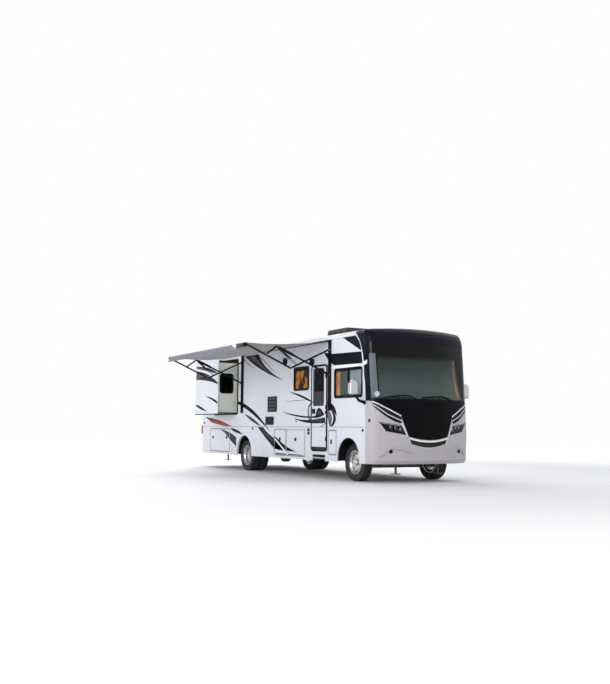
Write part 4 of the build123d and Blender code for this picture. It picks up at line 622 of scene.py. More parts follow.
NODE_FINISHES = {
    "Frame Black": ("chassis_frame", "rear_bumper"),
    "Engine Iron": ("engine_block",),
    "Axle Black": ("front_axle", "rear_axle", "leaf_springs", "knuckle_right", "knuckle_left"),
    "Bare Steel": ("tie_rod",),
    "Tank Plastic": ("fuel_tank",),
    "Exhaust Steel": ("exhaust",),
    "Floor Board": ("floor",),
    "Bay Plastic": ("basement", "stairwell"),
    "White Gel Coat": ("right_wall", "left_wall", "right_skirt", "left_skirt", "rear_wall", "entry_door",
        "service_door", *LOCKERS),
    "Roof Membrane": ("roof",),
    "Nose Paint And Painted Shade": ("front_cap",),
    "Hood Black": ("hood",),
    "Windshield Glass": ("windshield",),
    "Window Black": ("window_frames",),
    "Tinted Glass": ("window_panes", "entry_door_pane", "slide_pane"),
    "Smile": ("grille",),
    "Gloss Black": ("lamp_housings",),
    "Lamp Lenses": ("lamp_lenses",),
    "Trim Black": ("wipers",),
    "Mirror Cover": ("mirrors",),
    "Slide White": ("slide_room",),
    "Powder Black": ("awning_frame", "awning_arms"),
    "Awning Tube": ("awning_tube",),
    "Roof Plastic": ("roof_units",),
    "Ladder Metal": ("ladder",),
    "Vent Housing": ("side_vents",),
    "Wheel Chrome": ("front_rim_right", "front_rim_left", "rear_rims_right", "rear_rims_left"),
}


# Mesh building

def box(bm, x0, x1, y0, y1, z0, z1, bevel=0.0):
    """A block between coordinates on the coach, with its edges rounded by a bevel."""
    made = bmesh.ops.create_cube(bm, size=1.0)["verts"]
    low = at(min(x0, x1), min(y0, y1), min(z0, z1))
    span = Vector((abs(x1 - x0), abs(y1 - y0), abs(z1 - z0)))
    for vert in made:
        vert.co = low + Vector((v + 0.5) * s for v, s in zip(vert.co, span))
    if bevel:
        edges = {edge for vert in made for edge in vert.link_edges}
        bmesh.ops.bevel(bm, geom=list(edges), offset=bevel, segments=2, profile=0.5, affect="EDGES")


def side_place(side):
    """Lays a drawing of (x, z) on a side wall; its third number stands out from the wall."""
    return lambda u, v, h: at(u, side * (HALF + h), v)


def slide_place(u, v, h):
    """Lays a drawing of (x, z) on the slide-out's face."""
    return at(u, SLIDE_FACE_Y - h, v)


def rear_place(x=REAR_X):
    """Lays a drawing of (y, z) on a plane across the coach."""
    return lambda u, v, h: at(x - h, u, v)


def prism(bm, outline, place, low, high):
    """A plate with any outline, between two heights over the surface that place lays it on."""
    back = [bm.verts.new(place(u, v, low)) for u, v in outline]
    front = [bm.verts.new(place(u, v, high)) for u, v in outline]
    bm.faces.new(front)
    bm.faces.new(back[::-1])
    for i in range(len(outline)):
        bm.faces.new((back[i - 1], back[i], front[i], front[i - 1]))


def ring(bm, outer, inner, place, low, high, crown=0.0):
    """A frame between two outlines that have as many points, with a crowned face."""
    rows = [[bm.verts.new(place(u, v, low)) for u, v in outer],
        [bm.verts.new(place(u, v, high)) for u, v in outer]]
    if crown:
        middle = [((a + c) / 2, (b + d) / 2) for (a, b), (c, d) in zip(outer, inner)]
        rows.append([bm.verts.new(place(u, v, high + crown)) for u, v in middle])
    rows += [[bm.verts.new(place(u, v, high)) for u, v in inner],
        [bm.verts.new(place(u, v, low)) for u, v in inner]]
    for row, following in zip(rows, rows[1:] + rows[:1]):
        for i in range(len(row)):
            bm.faces.new((row[i - 1], row[i], following[i], following[i - 1]))


def rounded(u0, u1, v0, v1, radius, steps=6):
    """A rectangle's outline with round corners, anticlockwise from its low right corner."""
    u0, u1 = min(u0, u1), max(u0, u1)
    points = []
    for k, (u, v) in enumerate(((u1 - radius, v0 + radius), (u1 - radius, v1 - radius),
            (u0 + radius, v1 - radius), (u0 + radius, v0 + radius))):
        for i in range(steps + 1):
            angle = pi / 2 * (k - 1 + i / steps)
            points.append((u + radius * cos(angle), v + radius * sin(angle)))
    return points


def frame_ring(bm, window, grow, width, radius, place, low, high, crown=0.0):
    """A ring round a window or door: its outer edge is grown from the opening, and it is so wide."""
    x0, x1, z0, z1 = max(window[:2]), min(window[:2]), window[2], window[3]
    outer = rounded(x1 - grow, x0 + grow, z0 - grow, z1 + grow, max(radius + grow, 0.004))
    inner_grow = grow - width
    inner = rounded(x1 - inner_grow, x0 + inner_grow, z0 - inner_grow, z1 + inner_grow,
        max(radius + inner_grow, 0.003))
    ring(bm, outer, inner, place, low, high, crown)


def tube(bm, points, radius, sides, up=UP):
    """A capped round bar along points in the row frame; radius is a number or one for each point."""
    rings = []
    count = len(points)
    for i, point in enumerate(points):
        ahead = points[min(i + 1, count - 1)] - points[max(i - 1, 0)]
        ahead.normalize()
        across = ahead.cross(up)
        if across.length < 1e-4:
            across = ahead.cross(AHEAD)
        across.normalize()
        rise = across.cross(ahead).normalized()
        r = radius[i] if isinstance(radius, (list, tuple)) else radius
        rings.append([bm.verts.new(point + across * r * cos(a) + rise * r * sin(a))
            for a in (tau * k / sides for k in range(sides))])
    for row, following in zip(rings, rings[1:]):
        for k in range(sides):
            bm.faces.new((row[k - 1], row[k], following[k], following[k - 1]))
    bm.faces.new(rings[0][::-1])
    bm.faces.new(rings[-1])


def lathe(bm, profile, centre, axis, steps=32):
    """A closed turned form: rows of (radius, height along axis) from the centre, in the row frame."""
    axis = axis.normalized()
    across = axis.orthogonal().normalized()
    other = axis.cross(across)
    rows = []
    for radius, height in profile:
        if radius < 1e-6:
            rows.append([bm.verts.new(centre + axis * height)])
        else:
            middle = centre + axis * height
            rows.append([bm.verts.new(middle + (across * cos(a) + other * sin(a)) * radius)
                for a in (tau * k / steps for k in range(steps))])
    closed = len(rows[0]) > 1 and len(rows[-1]) > 1
    pairs = list(zip(rows, rows[1:])) + ([(rows[-1], rows[0])] if closed else [])
    for row, following in pairs:
        for k in range(steps):
            near, far = (line if len(line) > 1 else line * steps for line in (row, following))
            unique = list(dict.fromkeys((near[k - 1], near[k], far[k], far[k - 1])))
            if len(unique) > 2:
                bm.faces.new(unique)


def mesh_of(name, bm):
    mesh = bpy.data.meshes.new(name)
    bm.to_mesh(mesh)
    bm.free()
    return mesh


def in_scene(name, data):
    obj = bpy.data.objects.new(name, data)
    bpy.context.scene.collection.objects.link(obj)
    return obj


def piece(name, bm, look, body="coach", smooth=32.0):
    """Turns a built mesh into a shown piece that rides on a body."""
    bmesh.ops.remove_doubles(bm, verts=bm.verts, dist=1e-6)
    bmesh.ops.recalc_face_normals(bm, faces=bm.faces)
    return shown(name, mesh_of(name, bm), look, body, smooth)


def shown(name, mesh, look, body="coach", smooth=32.0):
    """Shows a mesh with its finish on a body, sharp where its faces turn by more than smooth."""
    mesh.materials.clear()
    mesh.materials.append(finish(look))
    mesh.shade_smooth()
    mesh.set_sharp_from_angle(angle=radians(smooth))
    obj = in_scene(name, mesh)
    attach(obj, body)
    return obj


def probe(*names):
    """A ray tester over CAD nodes."""
    verts, faces = [], []
    for name in names:
        mesh = NODES[name].data
        start = len(verts)
        verts += [v.co.copy() for v in mesh.vertices]
        faces += [[start + i for i in p.vertices] for p in mesh.polygons]
    return BVHTree.FromPolygons(verts, faces)


def from_ahead(tree, y, z):
    """What a level ray from ahead of the nose meets: its point, normal, face and distance."""
    return tree.ray_cast(at(3.0, y, z), -AHEAD)


NOSE = probe("front_cap", "hood", "windshield", "lamp_lenses", "grille")


def nose_point(y, z, lift=0.0):
    """The nose's point at (y, z), lifted along the skin's normal, and the normal."""
    for nudge in (0.0, 0.006, -0.006, 0.012, -0.012, 0.024, -0.024):
        hit, normal, _, _ = from_ahead(NOSE, y, z + nudge)
        if hit is not None:
            break
    if hit is None:
        raise RuntimeError("nothing of the nose at y %.3f z %.3f" % (y, z))
    if normal.x < 0:
        normal = -normal
    return hit + normal * lift, normal


# Geometry Nodes: what repeats in a row or round a wheel

def repeat_tree(name, circular):
    """Copies an item along a row or round a circle across the coach, as one mesh with one finish."""
    rows = [("Item", "Object", None), ("Count", "Int", 8), ("Finish", "Material", None),
        ("Centre", "Vector", None)]
    rows += [("Radius", "Float", 0.1), ("Phase", "Float", 0.0)] if circular else [("Step", "Vector", None)]
    tree, net, given, out = group_tree(name, "GeometryNodeTree", rows, [("Mesh", "Geometry")])
    item = net.add("GeometryNodeObjectInfo", {"Object": given["Item"]}).outputs["Geometry"]
    if circular:
        points = net.add("GeometryNodeMeshCircle", {"Vertices": given["Count"], "Radius": given["Radius"]})
        share = net.sum("DIVIDE", tau, given["Count"])
        turn = net.times(net.add("GeometryNodeInputIndex").outputs[0], share)
        spun = net.add("ShaderNodeCombineXYZ", {2: turn}).outputs[0]
        placed = net.add("GeometryNodeInstanceOnPoints",
            {"Points": points.outputs[0], "Instance": item, "Rotation": spun})
        phase = net.add("ShaderNodeCombineXYZ", {2: given["Phase"]}).outputs[0]
        phased = net.add("GeometryNodeTransform", {"Geometry": placed.outputs[0], "Rotation": phase})
        moved = net.add("GeometryNodeTransform", {"Geometry": phased.outputs[0],
            "Translation": given["Centre"], "Rotation": (pi / 2, 0, 0)})
    else:
        points = net.add("GeometryNodeMeshLine", {"Count": given["Count"], "Start Location": given["Centre"],
            "Offset": given["Step"]}, mode="OFFSET")
        moved = net.add("GeometryNodeInstanceOnPoints", {"Points": points.outputs[0], "Instance": item})
    real = net.add("GeometryNodeRealizeInstances", {0: moved.outputs[0]})
    dressed = net.add("GeometryNodeSetMaterial", {"Geometry": real.outputs[0], "Material": given["Finish"]})
    net.feed(out, 0, dressed.outputs[0])
    return tree


def row_tree():
    return repeat_tree("Row Of Items", False)


def wheel_tree():
    return repeat_tree("Items Round A Wheel", True)


def item_object(name, bm):
    """A small form at the origin that is copied, and removed once it has been."""
    bmesh.ops.recalc_face_normals(bm, faces=bm.faces)
    return in_scene(name, mesh_of(name, bm))


def repeated(maker, **values):
    """The mesh that a repeating tree grows with these inputs."""
    tree = shared(maker)
    holder = in_scene("Growing", bpy.data.meshes.new("Growing"))
    modifier = holder.modifiers.new("Repeat", "NODES")
    modifier.node_group = tree
    for item in tree.interface.items_tree:
        if item.in_out == "INPUT" and item.name in values:
            modifier[item.identifier] = values[item.name]
    holder.update_tag()
    mesh = bpy.data.meshes.new_from_object(holder.evaluated_get(bpy.context.evaluated_depsgraph_get()))
    holder.modifiers.remove(modifier)
    bpy.data.objects.remove(holder)
    return mesh


def rows_piece(name, look, rows, body="coach", smooth=32.0):
    """One piece out of several repeated rows, each given as item, maker and inputs."""
    bm = bmesh.new()
    items = []
    for item, maker, values in rows:
        mesh = repeated(maker, Item=item, Finish=finish(look), **values)
        bm.from_mesh(mesh)
        bpy.data.meshes.remove(mesh)
        items.append(item)
    for item in set(items):
        bpy.data.objects.remove(item)
    return piece(name, bm, look, body, smooth)


def local_block(width, depth, height, bevel):
    """A block about the origin, as an item to repeat."""
    bm = bmesh.new()
    made = bmesh.ops.create_cube(bm, size=1.0)["verts"]
    for vert in made:
        vert.co = Vector((vert.co.x * width, vert.co.y * depth, vert.co.z * height))
    bmesh.ops.bevel(bm, geom=list(bm.edges), offset=bevel, segments=1, profile=0.5, affect="EDGES")
    return bm


# Stripes: finish, level, upper edge, lower edge, as (x, z) on the side, or (y, z) on the rear

DARK, GREY, BRIGHT, ORANGE, LAVENDER = (colour + " Vinyl"
    for colour in ("Dark", "Grey", "Bright", "Orange", "Lavender"))
STRIPE_STEPS = 25
STRIPE_ROOT = -0.0005
LEVEL_STEP = 0.0004
STRIPES = (
    (DARK, 0, ((-4.46, 3.08), (-3.95, 2.68), (-3.03, 2.32)), ((-5.32, 3.08), (-4.3, 2.665), (-3.03, 2.32))),
    (GREY, 1, ((-4.72, 3.08), (-4.13, 2.71), (-3.25, 2.4)), ((-5.06, 3.08), (-4.24, 2.7), (-3.25, 2.4))),
    (GREY, 0, ((-5.46, 3.08), (-5.13, 2.887), (-4.62, 2.7)), ((-5.5, 3.08), (-5.15, 2.873), (-4.62, 2.7))),
    (GREY, 0, ((-4.49, 3.06), (-3.97, 2.808), (-3.45, 2.5)), ((-4.53, 3.06), (-3.99, 2.79), (-3.45, 2.5))),
    (DARK, 0, ((-5.73, 1.87), (-4.75, 1.605), (-3.75, 1.05)), ((-5.73, 1.79), (-4.85, 1.53), (-3.75, 1.05))),
    (GREY, 0, ((-5.27, 1.52), (-4.74, 1.38), (-4.25, 1.18)), ((-5.27, 1.515), (-4.8, 1.31), (-4.25, 1.18))),
    (DARK, 0, ((-4.15, 1.16), (-3.42, 0.845), (-2.34, 0.575)),
        ((-4.46, 1.16), (-3.96, 0.865), (-3.6, 0.675), (-3.3, 0.6), (-2.34, 0.575))),
    (GREY, 1, ((-4.12, 1.1), (-3.72, 0.905), (-3.2, 0.72)), ((-4.24, 1.1), (-3.82, 0.885), (-3.2, 0.72))),
    (DARK, 0, ((-3.54, 0.945), (-3.4, 0.905), (-3.19, 0.825), (-2.99, 0.735), (-2.7, 0.65), (-2.36, 0.577)),
        ((-3.54, 0.62), (-3.2, 0.605), (-2.36, 0.573))),
    (DARK, 0, ((-3.42, 0.518), (-2.8, 0.516), (-2.14, 0.51), (-1.92, 0.488)),
        ((-3.42, 0.48), (-2.8, 0.477), (-2.14, 0.478), (-1.92, 0.484))),
    (BRIGHT, 2, ((-3.5, 0.902), (-3.3, 0.805), (-2.99, 0.64), (-2.76, 0.49)),
        ((-3.52, 0.868), (-3.33, 0.775), (-3.05, 0.62), (-2.82, 0.47))),
    (ORANGE, 0, ((-7.99, 1.46), (-7.4, 1.405), (-6.8, 1.33), (-5.96, 1.155)),
        ((-7.99, 1.455), (-7.5, 1.285), (-6.55, 1.18), (-5.96, 1.15))),
    (DARK, 0, ((-6.2, 1.13), (-5.78, 1.09), (-5.36, 0.965)), ((-6.2, 1.125), (-5.85, 1.02), (-5.36, 0.965))),
    (GREY, 0, ((-6.91, 1.11), (-6.25, 1.01), (-5.79, 0.87)),
        ((-6.91, 1.105), (-6.6, 1.01), (-6.2, 0.81), (-5.79, 0.625))),
    (DARK, 1, ((-6.3, 0.885), (-6.0, 0.79), (-5.79, 0.7)), ((-6.3, 0.868), (-6.0, 0.73), (-5.79, 0.633))),
    (DARK, 0, ((-2.7, 2.03), (-2.0, 1.9), (-1.5, 1.725)), ((-2.7, 2.02), (-2.0, 1.845), (-1.5, 1.71))),
    (GREY, 0, ((-2.93, 1.795), (-2.3, 1.812), (-1.66, 1.812)),
        ((-2.93, 1.79), (-2.3, 1.798), (-1.66, 1.808))),
    (DARK, 0, ((-3.04, 1.54), (-2.3, 1.455), (-1.62, 1.415)),
        ((-3.04, 1.53), (-2.3, 1.415), (-1.62, 1.385))),
    (DARK, 0, ((-1.62, 1.415), (-1.3, 1.435), (-1.03, 1.46)),
        ((-1.62, 1.385), (-1.3, 1.385), (-1.03, 1.45))),
    (DARK, 0, ((-1.43, 1.43), (-1.28, 1.61), (-1.03, 1.46)),
        ((-1.43, 1.425), (-1.3, 1.425), (-1.03, 1.455))),
    (GREY, 1, ((-1.34, 1.47), (-1.26, 1.55), (-1.12, 1.475)),
        ((-1.34, 1.455), (-1.26, 1.44), (-1.12, 1.465))),
    (DARK, 0, ((-2.5, 1.39), (-1.85, 1.335), (-0.99, 1.392)),
        ((-2.5, 1.385), (-1.85, 1.27), (-0.98, 1.262))),
    (GREY, 1, ((-1.6, 1.322), (-1.3, 1.33), (-1.08, 1.35)), ((-1.6, 1.3), (-1.3, 1.29), (-1.08, 1.292))),
    (GREY, 0, ((-1.34, 1.16), (-1.08, 1.218), (-0.92, 1.3)),
        ((-1.34, 1.155), (-1.06, 1.206), (-0.91, 1.295))),
    (DARK, 0, ((-0.88, 1.735), (-0.6, 1.635), (-0.475, 1.41)),
        ((-0.88, 1.64), (-0.66, 1.53), (-0.475, 1.41))),
    (DARK, 0, ((-0.79, 1.58), (-0.52, 1.4), (-0.65, 1.185)), ((-0.79, 1.57), (-0.63, 1.39), (-0.75, 1.185))),
    (LAVENDER, 0, ((-0.92, 1.58), (-0.7, 1.42), (-0.745, 1.19)),
        ((-0.92, 1.5), (-0.86, 1.34), (-0.8, 1.19))),
    (DARK, 0, ((-0.23, 3.15), (0.3, 3.155), (0.46, 3.0), (0.53, 2.8)), ((-0.23, 3.15), (0.53, 2.8))),
    (DARK, 0, ((-1.07, 2.88), (-0.66, 2.82), (-0.2, 2.808), (0.535, 2.79)),
        ((-1.07, 2.88), (-0.86, 2.69), (-0.62, 2.556), (0.58, 2.53))),
    # The strip over the cab window is a real strip, drawn lighter than the white wall as a painted highlight
    # along it.
    (BRIGHT, 0, ((-0.66, 2.548), (0.3, 2.545), (0.745, 2.6)), ((-0.66, 2.484), (0.3, 2.47), (0.745, 2.52))),
)
SLIDE_STRIPES = (
    (GREY, 0, ((-7.32, 2.89), (-6.42, 2.8), (-5.79, 2.63)), ((-7.32, 2.83), (-6.45, 2.705), (-5.79, 2.6))),
    (DARK, 1, ((-7.1, 2.865), (-6.42, 2.785), (-5.9, 2.65)), ((-7.1, 2.855), (-6.45, 2.745), (-5.9, 2.64))),
    (GREY, 0, ((-7.32, 2.75), (-6.52, 2.63), (-5.76, 2.36)), ((-7.32, 2.5), (-6.51, 2.445), (-5.76, 2.32))),
    (DARK, 1, ((-7.1, 2.56), (-6.4, 2.54), (-5.76, 2.36)), ((-7.1, 2.52), (-6.4, 2.44), (-5.76, 2.325))),
    (DARK, 1, ((-7.32, 2.74), (-6.8, 2.68), (-6.3, 2.58)), ((-7.32, 2.71), (-6.8, 2.635), (-6.3, 2.57))),
    (DARK, 0, ((-6.57, 2.015), (-6.15, 1.955), (-5.76, 1.845)),
        ((-6.57, 2.01), (-6.15, 1.895), (-5.76, 1.775))),
    (DARK, 0, ((-7.3, 1.8), (-6.95, 1.73), (-6.53, 1.6)), ((-7.3, 1.75), (-6.95, 1.655), (-6.53, 1.59))),
)
REAR_STRIPES = (
    (DARK, 0, ((-1.15, 2.55), (-0.3, 2.62), (1.15, 2.1)), ((-1.15, 2.36), (-0.3, 2.5), (1.15, 2.1))),
    (GREY, 0, ((-1.15, 2.28), (-0.3, 2.36), (1.1, 1.92)), ((-1.15, 2.2), (-0.3, 2.3), (1.1, 1.92))),
    (ORANGE, 0, ((-1.15, 1.42), (0.0, 1.52), (1.15, 1.3)), ((-1.15, 1.3), (0.0, 1.44), (1.15, 1.3))),
)


def edge_curve(points, count):
    """Evenly sampled points: straight through two, a bend through three, and a broken line through more."""
    if len(points) == 3:
        start, middle, end = (Vector(p) for p in points)
        control = middle * 2 - (start + end) / 2
        steps = [i / (count - 1) for i in range(count)]
        return [start * (1 - t) ** 2 + control * 2 * t * (1 - t) + end * t ** 2 for t in steps]
    line = [Vector(p) for p in points]
    lengths = [(b - a).length for a, b in zip(line, line[1:])]
    out = []
    for i in range(count):
        left = sum(lengths) * i / (count - 1)
        k = 0
        while k < len(lengths) - 1 and left > lengths[k]:
            left -= lengths[k]
            k += 1
        out.append(line[k].lerp(line[k + 1], min(1.0, left / lengths[k])))
    return out


def stripe_sheet(upper, lower):
    """A flat strip of quads between two edges, drawn in (u, v, 0)."""
    bm = bmesh.new()
    rows = [[bm.verts.new((p.x, p.y, 0)) for p in edge_curve(edge, STRIPE_STEPS)] for edge in (upper, lower)]
    for i in range(STRIPE_STEPS - 1):
        bm.faces.new((rows[0][i], rows[0][i + 1], rows[1][i + 1], rows[1][i]))
    bmesh.ops.remove_doubles(bm, verts=bm.verts, dist=1e-4)
    return bm


def inside(spot, rect):
    x0, x1, z0, z1 = rect
    return min(x0, x1) < spot.x < max(x0, x1) and z0 < spot.y < z1


def cut_lines(bm, rects):
    """Splits the sheet along every side of the given rectangles."""
    for x0, x1, z0, z1 in rects:
        for place, normal in (((x0, 0, 0), (1, 0, 0)), ((x1, 0, 0), (1, 0, 0)), ((0, z0, 0), (0, 1, 0)),
                ((0, z1, 0), (0, 1, 0))):
            bmesh.ops.bisect_plane(bm, geom=bm.verts[:] + bm.edges[:] + bm.faces[:], plane_co=place,
                plane_no=normal, dist=1e-6)


def lay_stripes(name, rows, place, plates, holes, lift, home="coach"):
    """Cuts every stripe round the doors it crosses, and lays each part on the body under it."""
    made = {}
    for look, level, upper, lower in rows:
        sheet = stripe_sheet(upper, lower)
        cut_lines(sheet, [rect for _, rect in plates] + list(holes))
        for face in sheet.faces:
            middle = face.calc_center_median()
            body = next((b for b, rect in plates if inside(middle, rect)), None)
            if body is None and any(inside(middle, rect) for rect in holes):
                continue
            key = (look, body or home)
            outline = [(v.co.x, v.co.y) for v in face.verts]
            made.setdefault(key, {}).setdefault(level, []).append(outline)
        sheet.free()
    for (look, body), levels in made.items():
        bm = bmesh.new()
        for level, outlines in levels.items():
            raise_sheet(bm, join_outlines(outlines), place, STRIPE_ROOT, lift + level * LEVEL_STEP)
        piece("%s_%s_%s" % (name, look.split()[0].lower(), body), bm, look, body)


def join_outlines(outlines):
    """Welds faces drawn one by one back into a flat sheet."""
    bm = bmesh.new()
    for outline in outlines:
        bm.faces.new([bm.verts.new((u, v, 0)) for u, v in outline])
    bmesh.ops.remove_doubles(bm, verts=bm.verts, dist=1e-5)
    bm.normal_update()
    return bm


def raise_sheet(bm, sheet, place, low, high):
    """Gives a flat sheet its thickness over the surface that place lays it on, and closes its rim."""
    top = {v: bm.verts.new(place(v.co.x, v.co.y, high)) for v in sheet.verts}
    under = {v: bm.verts.new(place(v.co.x, v.co.y, low)) for v in sheet.verts}
    for face in sheet.faces:
        bm.faces.new([top[v] for v in face.verts])
        bm.faces.new([under[v] for v in reversed(face.verts)])
    for edge in sheet.edges:
        if len(edge.link_faces) == 1:
            a, b = edge.verts
            bm.faces.new((top[a], top[b], under[b], under[a]))
    sheet.free()


class LayStripes(bpy.types.Operator):
    """Cuts and lays the vinyl stripes on the sides, the doors, the slide-out and the rear"""
    bl_idname = "coach.lay_stripes"
    bl_label = "Stripes"

    def execute(self, context):
        lift = sizes().stripe_lift
        gap = DOOR_GAP + 0.002
        for side_name, side in BOTH_SIDES:
            plates = [(name, (x0 - gap, x1 + gap, z0 + gap, z1 - gap)) for name,
                (s, x0, x1, z0, z1) in LOCKERS.items() if s == side]
            holes = [(x0, x1, z0, z1) for s, x0, x1, z0, z1 in LOCKERS.values() if s == side]
            if side < 0:
                plates += [(name, (r[0] - gap, r[1] + gap, r[2] + gap, r[3] - gap)) for name,
                    r in (("entry_door", ENTRY), ("service_door", SERVICE))]
                holes += [ENTRY, SERVICE, CAB_WINDOW, HOUSE_WINDOW, SLIDE]
            else:
                holes += list(LEFT_WINDOWS)
            lay_stripes("stripes_" + side_name, STRIPES, side_place(side), plates, holes, lift)
        lay_stripes("stripes_slide", SLIDE_STRIPES, slide_place, [], [], lift, "slide_room")
        lay_stripes("stripes_rear", REAR_STRIPES, rear_place(), [], [], lift)
        return {"FINISHED"}


class FinishNodes(bpy.types.Operator):
    """Gives every shown CAD piece its finish"""
    bl_idname = "coach.finish_nodes"
    bl_label = "Finishes"

    def execute(self, context):
        for look, nodes in NODE_FINISHES.items():
            for obj in (NODES[name] for name in nodes):
                if not obj.material_slots:
                    obj.data.materials.append(None)
                for slot in obj.material_slots:
                    slot.link = "OBJECT"
                    slot.material = finish(look)
        return {"FINISHED"}


# Nose

def nose_sheet(bm, top, bottom, cols, rows, side, low, high, ridge=0.0):
    """A plate on the nose's skin between two edges in (y, z), with a ridge along its middle where asked."""
    upper, under = edge_curve(top, cols), edge_curve(bottom, cols)
    front, back = [], []
    for j in range(rows):
        share = j / (rows - 1)
        front.append([])
        back.append([])
        for a, b in zip(upper, under):
            spot = a.lerp(b, share)
            hit, normal = nose_point(side * spot.x, spot.y)
            rise = high + ridge * (1 - abs(2 * share - 1))
            front[-1].append(bm.verts.new(hit + normal * rise))
            back[-1].append(bm.verts.new(hit + normal * low))
    for j in range(rows - 1):
        for i in range(cols - 1):
            bm.faces.new((front[j][i], front[j][i + 1], front[j + 1][i + 1], front[j + 1][i]))
            bm.faces.new((back[j + 1][i], back[j + 1][i + 1], back[j][i + 1], back[j][i]))
    rim = [(j, 0) for j in range(rows)] + [(rows - 1, i) for i in range(1, cols)]
    rim += [(j, cols - 1) for j in range(rows - 2, -1, -1)] + [(0, i) for i in range(cols - 2, 0, -1)]
    for (ja, ia), (jb, ib) in zip(rim, rim[1:] + rim[:1]):
        bm.faces.new((front[ja][ia], front[jb][ib], back[jb][ib], back[ja][ia]))


# Lines on one side of the nose, as (y, z), except that SEAM_LINE is (x, z) and MARK is (y, z, radius)

SLASH_TOP = ((1.245, 1.707), (0.967, 1.562), (0.672, 1.409))
SLASH_LOW = ((1.245, 1.612), (0.95, 1.362), (0.664, 1.25))
SEAM_LINE = ((0.322, 3.19), (0.44, 3.05), (0.505, 2.93), (0.56, 2.7), (0.612, 2.36), (0.668, 2.03),
    (0.68, 1.79), (0.68, 1.4), (0.675, 0.9), (0.672, 0.56))
BROW = ((1.12, 0.57), (0.9, 0.745), (0.68, 0.718), (0.44, 0.645))
HOOD_LINE = ((0.676, 1.27), (0.632, 1.195), (0.588, 1.105), (0.545, 0.985))
CRESCENT_RIM = ((0.52, 0.93), (0.466, 0.822), (0.25, 0.762), (0.0, 0.737))
MARK = (-1.162, 1.87, 0.055)
WIPER_LINES = (
    ((-1.02, 1.793), (-0.8, 1.826), (-0.611, 1.845), (-0.5, 1.842), (-0.393, 1.811), (-0.3, 1.772)),
    ((-0.162, 1.798), (0.05, 1.819), (0.235, 1.834), (0.373, 1.842), (0.497, 1.815), (0.605, 1.772),
        (0.69, 1.752)),
)
# The left inner edge runs far in from the pillar: the black border there is widened into painted shade, a dark
# band where the glass shows only shade.
FRIT_AND_SHADE_IN = {1: ((0.875, 2.73), (0.95, 2.2), (1.075, 1.79)), -1: ((1.146, 2.73), (1.132, 2.3), (1.117, 1.79))}
PILLAR_IN = ((1.172, 2.73), (1.154, 2.3), (1.137, 1.79))
PILLAR_OUT = ((1.262, 2.73), (1.258, 2.15), (1.25, 1.79))
# Headlamp bowls and the fog lamp as (y, z, radius), a mirror face as (y, z, x) and its arm as (x, y, z)
BOWLS = ((0.905, 1.185, 0.042), (0.8, 1.168, 0.042), (0.69, 1.135, 0.046))
FOG = (0.9, 0.665, 0.04)
MIRROR = (1.505, 2.01, 0.507)
MIRROR_ARM = ((0.67, 1.299, 1.69), (0.61, 1.4, 1.735), (0.57, 1.48, 1.85))


